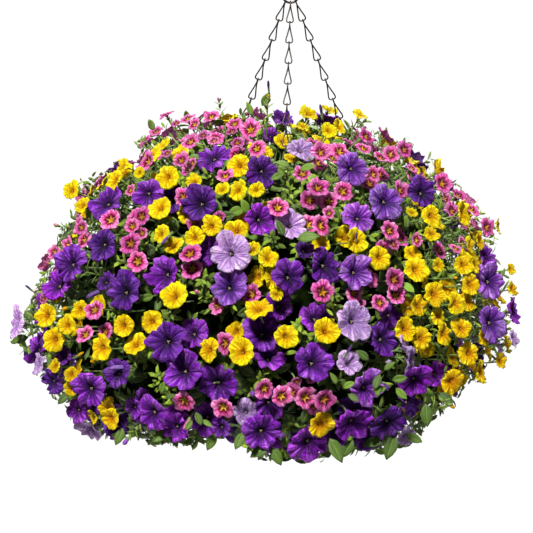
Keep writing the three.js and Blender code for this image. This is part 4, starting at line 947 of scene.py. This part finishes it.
def extra_blooms(blooms):
    """Half hidden blooms between the others, and more round the back."""
    extra = []
    shown_spots = project(np.array([bloom["at"] for bloom in blooms]))
    for bloom in blooms_between(blooms):
        inside = EXTRA_INSIDE * (2 if spot_of(bloom)[1] > LOW_ROW else 1)
        tuck_in(bloom, inside)
        spot = spot_of(bloom)
        if spot[1] < TOP_ROW:
            kind = blooms[int(np.argmin(np.linalg.norm(shown_spots - spot, axis=1)))]["kind"]
            kind = "pink" if kind in ("lavender", "purple") else kind
            width = KINDS[kind]["diameter"] * TOP_SIZE
            bloom.update(make_bloom(kind, bloom["at"], bloom["facing"], bloom["back"], width))
        if in_outline(spot[None], inside) and not hides_chain(bloom) and not is_under_pot(bloom):
            extra.append(bloom)
    for across, down, degrees, width in SIDE_ON:
        at, line = seen_on_mound(across, down)
        facing = in_view(degrees, SIDE_ON_AHEAD)
        extra.append(make_bloom("lavender", at - line * SIDE_ON_BEFORE, facing, line, width))
    return extra


blooms = settle_on_frame(blooms_in_front() + blooms_behind())
for bloom in blooms:
    if outward(bloom["at"]) @ SIGHT > BACK_EDGE:
        tuck_in(bloom, BLOOM_INSIDE)
extra = extra_blooms(blooms)
PAINTED_LIGHT_SHARE = 0.65  # share of a yellow bloom's tint that its height gives, as painted light


def tint_of(bloom, rng):
    """Blooms vary by chance. Yellow ones also carry painted light: brighter and less orange near the top,
    where they stand in full light, darker lower down.
    """
    if bloom["kind"] != "yellow":
        return rng.random()
    height = (bloom["at"][2] - MOUND_WAIST_Z + MOUND["down"]) / (MOUND["up"] + MOUND["down"])
    return PAINTED_LIGHT_SHARE * height + (1 - PAINTED_LIGHT_SHARE) * rng.random()


def bloom_piece(name, kind, blooms, shapes, rng, replaced=()):
    target = bmesh.new()
    for bloom in blooms:
        place = place_of(bloom["at"], bloom["facing"], rng.uniform(0, TURN), bloom["radius"])
        stamp(target, rng.choice(shapes), place, tint_of(bloom, rng))
    piece_from(name, target, PETALS[kind] + [STEM_SKIN, THROATS[kind]], replaced)


rng = random.Random(3)
for name in sorted({bloom["spray"] for bloom in blooms}):
    own = [bloom for bloom in blooms if bloom["spray"] == name]
    bloom_piece(f"{name}_blooms", own[0]["kind"], own, COROLLAS[own[0]["kind"]], rng, [name])
for kind in KINDS:
    own = [bloom for bloom in extra if bloom["kind"] == kind]
    bloom_piece(f"{kind}_blooms_behind", kind, own, EXTRA_COROLLAS[kind], rng)

# ---- leaves
every = blooms + extra
CENTRES = np.array([bloom["at"] for bloom in every])
FACINGS = np.array([bloom["facing"] for bloom in every])
RADII = np.array([bloom["radius"] for bloom in every])
DEPTHS = np.array([bloom["cup"] + bloom["shell"] / 2 for bloom in every])
FRONT_HALF = 60  # leaves set further back than this can't hide a bloom from the front
OVER = 26  # no leaf stands closer over a bloom than this, mm
CHAIN_ROOM = 7  # pixels beside the front chain that stay free of leaves
TOUCHES = 2.5  # a leaf this near a petal, mm, would pierce it
COVER = 0.8  # how much of a bloom's radius no leaf stands over
SHOWN = 0.82  # and how much no leaf hides from the front
BEYOND = 1.12  # a bloom further behind than this share of the view isn't looked at


def is_free(points, over=OVER, through_view=True, grown=0.0, under_pot=False):
    """Whether a leaf's points pierce no corolla, stand over none and hide none from the front."""
    spots = project(points)
    if not in_outline(spots, grown):
        return False
    in_cavity = (np.hypot(points[:, 0], points[:, 1]) < CAVITY_MOUTH) & (points[:, 2] < CAVITY_TOP)
    if not under_pot and np.any(in_cavity):
        return False
    nearer = (points - EYE_POINT) @ SIGHT < FRONT_CHAIN_DEPTH
    beside = np.abs(spots[:, 0] - FRONT_CHAIN_COLUMN) < CHAIN_ROOM
    if np.any(nearer & beside & (spots[:, 1] < FRONT_CHAIN_LOW)):
        return False
    offset = points[:, None, :] - CENTRES[None]
    height = np.einsum("ijk,jk->ij", offset, FACINGS)
    out = np.sqrt(np.maximum(0, (offset ** 2).sum(2) - height ** 2))
    above = height + DEPTHS * np.clip(1 - out / RADII, 0, 1)
    if np.any((out < RADII + 1) & (np.abs(above) < TOUCHES)):
        return False
    if np.any((out < COVER * RADII) & (above > 0) & (above < over)):
        return False
    if through_view and (points[0] - FRONT_CENTRE) @ SIGHT < FRONT_HALF:
        lines = points - EYE_POINT
        reach = np.einsum("jk,jk->j", CENTRES - EYE_POINT, FACINGS) / (lines @ FACINGS.T)
        hit = EYE_POINT + lines[:, None, :] * reach[..., None]
        gap = np.linalg.norm(hit - CENTRES[None], axis=2)
        if np.any((reach > 1.0) & (reach < BEYOND) & (gap < SHOWN * RADII)):
            return False
    return True


def turned(axis, angle, rise):
    """A direction square to an axis, turned round it, which rises along it."""
    u, v = square_to(axis)
    return u * math.cos(angle) + v * math.sin(angle) + axis * rise


def leaf_place(base, direction, face, length):
    side = np.cross(face, direction)
    columns = Matrix((direction, side, face)).transposed().to_4x4()
    return Matrix.Translation(Vector(base) * MM) @ columns @ Matrix.Scale(length * MM, 4)


# The points of a leaf that are tested: shares of its length and of its half width.
LEAF_PROBES = ((0.35, 0), (0.55, 0.42), (0.55, -0.42), (0.8, 0), (1.0, 0))


def leaf_points(base, direction, face, length, width):
    side = np.cross(face, direction)
    return np.array([base + direction * length * t + side * width * length * s for t, s in LEAF_PROBES])


class Growth:
    """Leaves of one kind, gathered into pieces of a bounded size."""

    def __init__(self, name, blade_name, most):
        self.name = name
        self.blade = blade_name
        self.most = most
        self.target = bmesh.new()
        self.count = 0
        self.made = 0

    def leaf(self, rng, base, direction, face, size, tint, **care):
        form = BLADES[self.blade]
        length = form["length"] * size
        direction = unit(direction)
        face = face - direction * (face @ direction)
        if np.linalg.norm(face) < 0.05:
            return False
        face = unit(face)
        if not is_free(leaf_points(base, direction, face, length, form["width"] / 2), **care):
            return False
        stamp(self.target, rng.choice(LEAVES[self.blade]), leaf_place(base, direction, face, length), tint)
        self.count += 1
        if self.count >= self.most:
            self.close()
        return True

    def close(self):
        if self.count:
            self.made += 1
            skins = LEAF_SKINS[self.blade]
            piece_from(f"{self.name}_{self.made:02d}", self.target, skins, ["green_growth"])
        self.target = bmesh.new()
        self.count = 0


petunia_leaves = Growth("petunia_leaves", "petunia_leaf", 900)
small_leaves = Growth("calibrachoa_leaves", "calibrachoa_leaf", 1800)
stems = []  # runs of points, each a thin stem
BUD_EVERY = 5
bud_spots = []  # foot, direction and length of each closed bud

# Leafy shoots all over the mound, on an even spiral.
SHOOTS = 1150
SHOOT_TOP = 0.985  # the sine of the spiral's highest place, and how far that falls
SHOOT_SPAN = 1.78
SHOOT_STRAY = 0.06
SHOOT_SUNK = (-4, 26)  # under the mound's surface, mm
SHOOT_LIFT = (0.0, 0.5)
SHOOT_LEAN = 0.35
SHOOT_LENGTH = (40, 62)
SHOOT_DEPTH = 25  # of its stem in the inner growth, mm
BROAD_SHARE = 0.2  # of the shoots have petunia leaves
BROAD_COUNT = (5, 7)
SMALL_COUNT = (13, 18)
SHOOT_SIZES = (0.72, 1.08)
PAST_OUTLINE = (0, 0, 0.012, 0.025)  # some leaves reach a little past the outline
BUD_TILT = 0.4
BUD_LENGTH = (9, 14)
rng = random.Random(11)
for i in range(SHOOTS):
    elevation = math.asin(SHOOT_TOP - SHOOT_SPAN * (i + 0.5) / SHOOTS)
    tip = point_on(MOUND, i * GOLDEN_ANGLE + rng.uniform(-SHOOT_STRAY, SHOOT_STRAY), elevation)
    up = outward(tip)
    tip = tip - up * rng.uniform(*SHOOT_SUNK)
    lift = Z_AXIS * rng.uniform(*SHOOT_LIFT)
    lean = unit(up + lift + np.array([rng.uniform(-SHOOT_LEAN, SHOOT_LEAN) for _ in range(3)]))
    length = rng.uniform(*SHOOT_LENGTH)
    foot = tip - lean * length
    broad = rng.random() < BROAD_SHARE
    growth = petunia_leaves if broad else small_leaves
    count = rng.randint(*(BROAD_COUNT if broad else SMALL_COUNT))
    base_tint = rng.random()
    grown = 0
    for leaf in range(count):
        share = 0.1 + 0.9 * (leaf + 0.5) / count
        base = foot + lean * length * share
        rise = 0.25 + 0.9 * share ** 2 + rng.uniform(-0.1, 0.1)
        direction = turned(lean, leaf * GOLDEN_ANGLE + i, rise)
        size = rng.uniform(*SHOOT_SIZES) * (1 - 0.35 * share ** 3)
        # Painted shade: leaves low on a shoot, deeper in the growth, get darker tints than those near its
        # tip.
        tint = min(1, max(0, 0.05 + 0.85 * share * base_tint + rng.uniform(-0.1, 0.3)))
        grown += growth.leaf(rng, base, direction, lean, size, tint, grown=rng.choice(PAST_OUTLINE))
    run = np.array([foot + (tip - foot) * share for share in np.linspace(0, 0.95, 7)])
    if grown and is_free(run, over=4):
        stems.append([foot - up * SHOOT_DEPTH, foot, tip - lean * 3])
        if i % BUD_EVERY == 0 and is_free(np.array([tip, tip + lean * 12]), over=12):
            axis = unit(lean + square_to(lean)[0] * rng.uniform(-BUD_TILT, BUD_TILT))
            bud_spots.append((tip - lean * 3, axis, rng.uniform(*BUD_LENGTH)))

# Larger shaded leaves under the blooms, over the whole inner growth, with low tints that darken them as
# painted shade.
LINING = 2300
LINING_TOP = 0.99  # the sine of the spiral's highest place, and how far that falls
LINING_SPAN = 1.95
LINING_DEPTH = (0.25, 0.8)  # from the inner growth to four fifths of the way out
for i in range(LINING):
    elevation = math.asin(LINING_TOP - LINING_SPAN * (i + 0.5) / LINING)
    share = rng.uniform(*LINING_DEPTH)
    low = point_on(CORE, i * GOLDEN_ANGLE, elevation)
    base = low + (point_on(MOUND, i * GOLDEN_ANGLE, elevation) - low) * share * 0.8
    up = outward(base)
    direction = turned(up, rng.uniform(0, TURN), rng.uniform(0.2, 0.9))
    growth = small_leaves if i % 3 else petunia_leaves
    growth.leaf(rng, base, direction, up, rng.uniform(0.8, 1.3), rng.uniform(0, 0.2), over=8)

# Leaves that hang over the underside, close to the inner growth.
UNDERSIDE = 1100
UNDERSIDE_FROM = 14  # degrees below the waist, and how many further
UNDERSIDE_SPAN = 74
UNDERSIDE_OUT = (2, 18)
UNDERSIDE_HEART = 120  # the leaves face away from a point this far over the waist, mm
waist = np.array((MOUND_X, 0, MOUND_WAIST_Z))
for i in range(UNDERSIDE):
    elevation = -math.radians(UNDERSIDE_FROM + UNDERSIDE_SPAN * (i + 0.5) / UNDERSIDE)
    low = point_on(CORE, i * GOLDEN_ANGLE, elevation)
    base = low + unit(low - waist) * rng.uniform(*UNDERSIDE_OUT)
    up = unit(base - waist - Z_AXIS * UNDERSIDE_HEART)
    direction = turned(up, rng.uniform(0, TURN), rng.uniform(0.1, 0.5)) - Z_AXIS * 0.2
    growth = petunia_leaves if i % 3 else small_leaves
    growth.leaf(rng, base, direction, up, rng.uniform(1.0, 1.45), rng.uniform(0, 0.5), over=6,
                through_view=False)

# Leaves that hang on the wall of the open space under the pot, and close in towards its mouth.
WALL_LEAVES = 900
WALL_SPAN = (-440, -628)
WALL_OUT = (14, 24)  # mm off the wall at most at the top, and how much more at the mouth
for i in range(WALL_LEAVES):
    share = (i + 0.5) / WALL_LEAVES
    z = WALL_SPAN[0] + (WALL_SPAN[1] - WALL_SPAN[0]) * share
    inward = np.array((-math.cos(i * GOLDEN_ANGLE), -math.sin(i * GOLDEN_ANGLE), 0))
    base = Z_AXIS * z - inward * (CORE_CAVITY_RADIUS - rng.uniform(0, WALL_OUT[0] + WALL_OUT[1] * share))
    along = np.cross(Z_AXIS, inward) * rng.uniform(-0.9, 0.9)
    direction = along - Z_AXIS * rng.uniform(0.2, 1) + inward * rng.uniform(0.1, 0.9)
    growth = petunia_leaves if i % 2 else small_leaves
    face = inward - Z_AXIS * 0.5
    growth.leaf(rng, base, direction, face, rng.uniform(0.9, 1.4), rng.uniform(0, 0.5), over=4,
                through_view=False, under_pot=True)

# Sprigs that reach past the outline: where their tips show in the front view.
SPRIGS = [
    (258, 104), (268, 100), (272, 116), (219, 103), (150, 117), (138, 139), (100, 174), (96, 182), (60, 226),
    (50, 244), (38, 300), (16, 345), (28, 290), (310, 99), (386, 130), (372, 128), (430, 168), (440, 172),
    (470, 188), (486, 200), (500, 245), (513, 277), (214, 446), (130, 436), (160, 442), (335, 452),
    (420, 432), (448, 404), (478, 378), (64, 400), (84, 430), (112, 172), (128, 158), (404, 132), (456, 176),
]
SPRIG_ROOM = 0.09  # how far inside the outline a sprig starts, in shares of its place
SPRIG_STEP = 2.6  # mm from leaf to leaf
SPRIG_DEPTH = 30
SPRIG_BUDS = (7, 11)
for i, spot in enumerate(SPRIGS):
    foot, line = seen_on_mound(*(np.array(spot) + (MIDDLE - np.array(spot)) * SPRIG_ROOM))
    tip = EYE_POINT + unit(seen_on_mound(*spot)[1]) * np.linalg.norm(foot - EYE_POINT)
    axis = unit(tip - foot)
    if not is_free(foot + (tip - foot) * np.linspace(0.2, 1, 5)[:, None], over=12, grown=0.1):
        continue
    steps = int(np.linalg.norm(tip - foot) / SPRIG_STEP)
    for leaf in range(steps):
        share = (leaf + 1) / steps
        direction = turned(axis, leaf * GOLDEN_ANGLE + i, 0.5 + 0.8 * share)
        size = rng.uniform(0.7, 0.95) * (1.05 - 0.45 * share)
        base = foot + (tip - foot) * share
        small_leaves.leaf(rng, base, direction, axis, size, rng.uniform(0.35, 0.9), grown=0.08)
    stems.append([foot - outward(foot) * SPRIG_DEPTH, foot, tip])
    bud_spots.append((tip, axis, rng.uniform(*SPRIG_BUDS)))

# Large leaves at the lower edge: where they show, their heading in the front view, and their size.
EDGE_LEAVES = [
    (261, 450, 215, 1.0), (336, 449, 300, 1.15), (391, 446, 255, 1.15), (374, 442, 200, 0.9),
    (413, 438, 330, 0.8), (427, 414, 280, 1.0), (154, 435, 190, 1.25), (183, 439, 350, 1.1),
    (212, 441, 245, 0.8), (64, 398, 230, 0.7), (276, 455, 300, 0.9), (348, 448, 240, 0.9),
    (240, 440, 250, 0.8), (446, 398, 320, 0.8), (120, 436, 250, 0.8),
]
EDGE_PAST = 0.2  # these may reach this far past the outline
for across, down, degrees, size in EDGE_LEAVES:
    direction = in_view(degrees, 0.2)
    half = BLADES["petunia_leaf"]["length"] * size / 2 / FRONT_PIXEL
    foot, line = seen_on_mound(across - half * direction[0], down + half * (direction @ SIGHT_UP))
    petunia_leaves.leaf(rng, foot, direction, -SIGHT + Z_AXIS * 0.4, size, rng.uniform(0, 0.35), over=5,
                        through_view=False, grown=EDGE_PAST)

# Leaves that stand before the growth: by the left chain, in the middle, and low on the right.
NEAR_LEAVES = [
    (252, 116, 110, 0.7), (262, 106, 60, 0.75), (269, 116, 20, 0.75), (256, 124, 200, 0.65),
    (264, 122, 330, 0.65), (284, 236, 115, 0.75), (297, 239, 15, 0.95), (290, 166, 160, 0.65),
    (300, 170, 20, 0.7), (283, 174, 200, 0.6), (369, 360, 140, 0.7), (374, 366, 200, 0.6),
    (380, 374, 250, 0.7), (384, 370, 40, 0.6), (392, 380, 10, 0.65), (396, 388, 310, 0.65),
    (386, 388, 190, 0.6), (378, 384, 270, 0.55), (337, 384, 120, 0.55), (343, 388, 30, 0.55),
    (348, 394, 330, 0.55), (161, 393, 80, 0.5), (166, 398, 20, 0.45), (196, 412, 290, 0.6),
    (202, 420, 330, 0.55), (192, 420, 240, 0.5),
]
NEARER = 10  # mm before the mound's surface
for across, down, degrees, size in NEAR_LEAVES:
    foot, line = seen_on_mound(across, down)
    face = -SIGHT + Z_AXIS * rng.uniform(0, 1.2) + X_AXIS * rng.uniform(-0.7, 0.7)
    petunia_leaves.leaf(rng, foot - line * NEARER, in_view(degrees, 0.25), face, size, rng.uniform(0.1, 0.7),
                        over=0, through_view=False, grown=EDGE_PAST)
petunia_leaves.close()
small_leaves.close()

# ---- buds
BUD = closed_bud()
# Furled and fading blooms that the photograph shows: where their tips show, heading, length in mm and kind.
FURLED = [
    (86, 298, 208, 36, "violet"), (110, 368, 182, 34, "violet"), (140, 149, 250, 20, "pink"),
    (183, 430, 240, 24, "pink"), (320, 104, 100, 24, "purple"), (357, 232, 85, 14, "purple"),
    (161, 245, 230, 22, "purple"), (84, 352, 30, 17, "yellow"), (352, 345, 60, 20, "purple"),
    (268, 80, 95, 20, "purple"), (428, 300, 60, 16, "yellow"), (25, 285, 140, 16, "purple"),
]
SLENDER = 0.42
FADED = 0.4  # the lightest tint of a fading bloom
bud_targets = {kind: bmesh.new() for kind in KINDS}
for foot, axis, length in bud_spots:
    kind = min(every, key=lambda bloom: np.linalg.norm(bloom["at"] - foot))["kind"]
    size = length * KINDS[kind]["diameter"] / KINDS["yellow"]["diameter"]
    stamp(bud_targets[kind], BUD, place_of(foot, axis, rng.uniform(0, TURN), size), rng.random())
for across, down, degrees, length, kind in FURLED:
    tip, line = seen_on_mound(across, down)
    axis = unit(in_view(degrees, 0.35))
    foot = tip - axis * length - line * NEARER
    place = place_of(foot, axis, rng.uniform(0, TURN), length) @ Matrix.Diagonal((SLENDER, SLENDER, 1, 1))
    stamp(bud_targets[kind], BUD, place, FADED * rng.random())
for kind, target in bud_targets.items():
    piece_from(f"{kind}_buds", target, [PETALS[kind][1], STEM_SKIN])


# ---- stems
def curve_mesh(name, runs, radius, closed=False, kind="POLY", rounds=2):
    """A mesh of round stems or wires along runs of points in mm."""
    data = bpy.data.curves.new(name, "CURVE")
    data.dimensions = "3D"
    data.bevel_depth = radius * MM
    data.bevel_resolution = rounds
    data.resolution_u = 3
    data.use_fill_caps = True
    for run in runs:
        spline = data.splines.new(kind)
        spline.points.add(len(run) - 1)
        for point, place in zip(spline.points, run):
            point.co = (*(np.asarray(place) * MM), 1)
        spline.use_cyclic_u = closed
        if kind == "NURBS":
            spline.order_u = 3
            spline.use_endpoint_u = not closed
    holder = bpy.data.objects.new(name, data)
    mesh = bpy.data.meshes.new_from_object(holder)
    bpy.data.objects.remove(holder)
    bpy.data.curves.remove(data)
    mesh.shade_smooth()
    return mesh


STEM_RADIUS = 1.0
STEM_EDGE = -0.02  # stems end this far inside the outline
STEM_BEND = 14  # a stalk runs straight back this far, mm, and then bends inward
STEM_ROOT = 34
stems = [run for run in stems if in_outline(project(np.array(run)), STEM_EDGE)]
for bloom in every:
    end = tube_end_of(bloom)
    inward = -outward(end)
    bend = end - bloom["facing"] * STEM_BEND + inward * 6
    root = bend + inward * STEM_ROOT - Z_AXIS * 4
    if math.hypot(*root[:2]) < CAVITY_MOUTH + 12 and root[2] < CAVITY_TOP:
        root = bend + unit(np.array((bend[0], bend[1], 0))) * 6 + Z_AXIS * 24
    stems.append([end + bloom["facing"] * 1.5, end - bloom["facing"] * 6, bend, root])
mesh = curve_mesh("growing_stems", stems, STEM_RADIUS, kind="NURBS", rounds=1)
finished("growing_stems", mesh, ["green_growth"], [STEM_SKIN])

# ---- inner growth
CORE_RINGS = 24
CORE_STEPS = 72
CORE_ROUGH = 7  # mm by which its surface is uneven
CORE_BLEND = 60  # the core leans to the mound's axis over this width, mm
CAVITY_ROOF = RIM_Z + 6


def inner_growth():
    """The dark heart of the growth: a rounded body with an open space for the pot."""
    rng = random.Random(5)
    ring = []
    for step in range(CORE_RINGS + 1):
        point = point_on(CORE, 0, math.pi * (step / CORE_RINGS - 0.5))
        out = point[0] - MOUND_X if 0 < step < CORE_RINGS else 0
        if out > CORE_CAVITY_RADIUS or point[2] > MOUND_WAIST_Z:
            ring.append((out, point[2]))
    wall = [(0, CAVITY_ROOF), (CORE_CAVITY_RADIUS, CAVITY_ROOF), (CORE_CAVITY_RADIUS, ring[0][1])]
    bm = bmesh.new()
    lathe(bm, wall + ring, CORE_STEPS, seam=0.01)
    for vertex in bm.verts:
        out = math.hypot(vertex.co.x, vertex.co.y)
        low = vertex.co.z < MOUND_WAIST_Z
        vertex.co.x += MOUND_X * (min(1, max(0, (out - CORE_CAVITY_RADIUS) / CORE_BLEND)) if low else 1)
        if out > CORE_CAVITY_RADIUS + 5 or vertex.co.z > CAVITY_ROOF + 5:
            vertex.co += Vector([rng.uniform(-CORE_ROUGH, CORE_ROUGH) for _ in range(3)])
    bmesh.ops.scale(bm, vec=(MM, MM, MM), verts=bm.verts[:])
    bmesh.ops.recalc_face_normals(bm, faces=bm.faces[:])
    piece_from("inner_growth", bm, [SHADE_SKIN], ["green_growth"])


inner_growth()


# ---- hanger
def lug_point(azimuth, z):
    angle = math.radians(azimuth)
    return np.array((LUG_RADIUS * math.cos(angle), LUG_RADIUS * math.sin(angle), z))


EYE_SPREAD = {"left": -38, "front": 0, "right": 38}
LINK_WIRE = 0.95
SHOWN_LINKS = 11  # the CAD's wire leg is linked as well, down to the soil
LINK_WAIST = 11.5  # from a link's top to where its two wires cross
LINK_EYE = 2.6  # half width of its upper eye
LINK_FOOT = 4.8  # half width of its wide foot
LINK_FOLD = 3.6  # height of its foot's rounded corners
LINK_SIDE = 19  # the wires run side by side from the waist to here


def link_run(top, down, side):
    """A bent wire link: a small eye above and a wide three-cornered loop below, a quarter turn apart."""
    length = LINK_PITCH + 2 * LINK_WIRE
    normal = np.cross(down, side)
    eye = [(LINK_WAIST, 0.9, 0.5), (7, 0, LINK_EYE), (1.2, 0, LINK_EYE * 0.9)]
    foot = [(LINK_SIDE, -2.6), (length - LINK_FOLD, -LINK_FOOT), (length - 0.4, -LINK_FOOT * 0.8)]
    shape = eye + [(0, 0, 0)] + [(drop, -across, -out) for drop, across, out in reversed(eye)]
    shape += [(drop, across, 0) for drop, across in foot] + [(length, 0, 0)]
    shape += [(drop, -across, 0) for drop, across in reversed(foot)]
    return [top + down * drop + side * across + normal * out for drop, across, out in shape]


LEG_WIRE = 1.5
LEG_UNDER = 1.8  # the leg turns under the rim this far below it, over this length
LEG_TURN = 7


def chain(name):
    turn = math.radians(EYE_SPREAD[name])
    start = np.array((EYE_RADIUS * math.sin(turn), 0, EYE_Z + EYE_RADIUS * (1 - math.cos(turn))))
    end = lug_point(CHAIN_AZIMUTHS[name], RIM_Z + RIM_THICK)
    down = unit(end - start)
    side = unit(X_AXIS - down * (down @ X_AXIS))
    first = start - down * (EYE_WIRE + LINK_WIRE)
    links = [link_run(first + down * i * LINK_PITCH, down, side) for i in range(SHOWN_LINKS)]
    foot = lug_point(CHAIN_AZIMUTHS[name], RIM_Z - RIM_THICK - LEG_UNDER)
    sideways = unit(np.array((-foot[1], foot[0], 0)))
    leg = [first + down * SHOWN_LINKS * LINK_PITCH, end, foot, foot + sideways * LEG_TURN]
    bm = bmesh.new()
    bm.from_mesh(curve_mesh("links", links, LINK_WIRE, closed=True, kind="NURBS", rounds=3))
    bm.from_mesh(curve_mesh("leg", [leg], LEG_WIRE, rounds=3))
    node = f"hanger_chain_{name}"
    piece_from(f"{node}_links", bm, [WIRE_SKIN], [node])


for name in CHAIN_AZIMUTHS:
    chain(name)


HOOK_FROM = -90  # degrees: the hook starts under its arc and stays open to one side
HOOK_SWEEP = 290
HOOK_STEPS = 32
EYE_STEPS = 28


def hook():
    reach = HOOK_RADIUS + HOOK_WIRE
    arc = []
    for step in range(HOOK_STEPS + 1):
        angle = math.radians(HOOK_FROM + HOOK_SWEEP * step / HOOK_STEPS)
        arc.append((reach * math.cos(angle), 0, -HOOK_RADIUS + reach * math.sin(angle)))
    eye = []
    for step in range(EYE_STEPS):
        angle = TURN * step / EYE_STEPS
        eye.append((EYE_RADIUS * math.sin(angle), 0, EYE_Z + EYE_RADIUS * (1 + math.cos(angle))))
    bm = bmesh.new()
    bm.from_mesh(curve_mesh("arc", [arc], HOOK_WIRE, rounds=4))
    bm.from_mesh(curve_mesh("eye", [eye], EYE_WIRE, closed=True, rounds=3))
    piece_from("hanger_hook_wire", bm, [WIRE_SKIN], ["hanger_hook"])


hook()

# ---- pot and soil
POT_STEPS = 96
DRAIN_RADIUS = 6
DRAIN_CIRCLE = 60
DRAIN_STEPS = 24
POT_RECESS = 1.0  # the floor stands this far over the foot ring
POT_EDGE = 1.0  # rounding of the rim's edges, and of the foot's
FOOT_EDGE = 1.4
FOOT_WIDTH = 10
SHARP = math.radians(40)
ON_LEVEL = 0.01


def pot_shell():
    """The moulded pot: foot ring, tapered wall, flat rim with rounded edges, and four drain holes."""
    base = RIM_Z - POT_HEIGHT
    under = RIM_Z - RIM_THICK
    levels = {"recess": base + POT_RECESS, "floor": base + POT_WALL}
    profile = [(POT_BASE_RADIUS - FOOT_WIDTH - 2, levels["recess"]), (POT_BASE_RADIUS - FOOT_WIDTH, base),
               (POT_BASE_RADIUS - FOOT_EDGE, base), (POT_BASE_RADIUS, base + FOOT_EDGE),
               (POT_NECK_RADIUS, under - POT_EDGE), (POT_NECK_RADIUS + POT_EDGE, under),
               (RIM_RADIUS - POT_EDGE, under), (RIM_RADIUS, under + POT_EDGE),
               (RIM_RADIUS, RIM_Z - POT_EDGE), (RIM_RADIUS - POT_EDGE, RIM_Z),
               (POT_NECK_RADIUS - POT_WALL + 1.5, RIM_Z), (POT_NECK_RADIUS - POT_WALL, RIM_Z - 1.5),
               (POT_BASE_RADIUS - POT_WALL, levels["floor"])]
    bm = bmesh.new()
    lathe(bm, profile, POT_STEPS, seam=0.01)
    drains = {}
    for level, z in levels.items():
        ring = [edge for edge in bm.edges
                if edge.is_boundary and all(abs(vertex.co.z - z) < ON_LEVEL for vertex in edge.verts)]
        for i in range(4):
            angle = TURN / 4 * (i + 0.5)
            spot = Matrix.Translation((DRAIN_CIRCLE * math.cos(angle), DRAIN_CIRCLE * math.sin(angle), z))
            hole = bmesh.ops.create_circle(bm, segments=DRAIN_STEPS, radius=DRAIN_RADIUS, matrix=spot)
            drains[level, i] = list({edge for vertex in hole["verts"] for edge in vertex.link_edges})
            ring += drains[level, i]
        bmesh.ops.triangle_fill(bm, edges=ring, use_beauty=True)
    for i in range(4):
        bmesh.ops.bridge_loops(bm, edges=drains["recess", i] + drains["floor", i])
    bmesh.ops.recalc_face_normals(bm, faces=bm.faces[:])
    bmesh.ops.scale(bm, vec=(MM, MM, MM), verts=bm.verts[:])
    shell = piece_from("pot_shell", bm, [POT_SKIN], ["pot"]).data
    shell.shade_smooth()
    shell.set_sharp_from_angle(angle=SHARP)


pot_shell()
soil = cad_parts["potting_soil"].data
soil.materials.clear()
soil.materials.append(SOIL_SKIN)

# ---- floor and light
FLOOR_Z = -6.0
bpy.ops.mesh.primitive_circle_add(vertices=64, radius=4, fill_type="NGON", location=(0, 0, FLOOR_Z))
floor = bpy.context.object
floor.name = "studio_floor"
floor_skin, _, shader = new_material("matt_white_paint", Roughness=0.9)
shader.inputs["Base Color"].default_value = linear("#e4e4e2")
floor.data.materials.append(floor_skin)

FILL_LIGHT = 0.17
WHITE = 1.05  # the plain backdrop that the camera sees
world = bpy.data.worlds.new("studio")
bpy.context.scene.world = world
world.use_nodes = True
tree = world.node_tree
tree.nodes.clear()
fill = add(tree, "Background", {"Color": (1, 1, 1, 1), "Strength": FILL_LIGHT})
plain = add(tree, "Background", {"Color": (1, 1, 1, 1), "Strength": WHITE})
seen = add(tree, "LightPath", out="Is Camera Ray")
add(tree, "OutputWorld", {"Surface": add(tree, "MixShader", [seen, fill, plain])})

# Soft window light from the front, high and a little to one side, and a weaker one behind.
WINDOWS = {
    "window_light": {"energy": 7.5, "soft": 9, "colour": (1.0, 0.98, 0.925), "turn": (38, -14, 0)},
    "back_window_light": {"energy": 3.0, "soft": 30, "colour": (1.0, 1.0, 1.0), "turn": (-52, 12, 0)},
}
for name, window in WINDOWS.items():
    sun = bpy.data.lights.new(name, "SUN")
    sun.energy = window["energy"]
    sun.angle = math.radians(window["soft"])
    sun.color = window["colour"]
    light = bpy.data.objects.new(name, sun)
    light.rotation_euler = [math.radians(turn) for turn in window["turn"]]
    bpy.context.scene.collection.objects.link(light)

bpy.context.scene.view_settings.view_transform = "Standard"
bpy.context.scene.view_settings.look = "None"
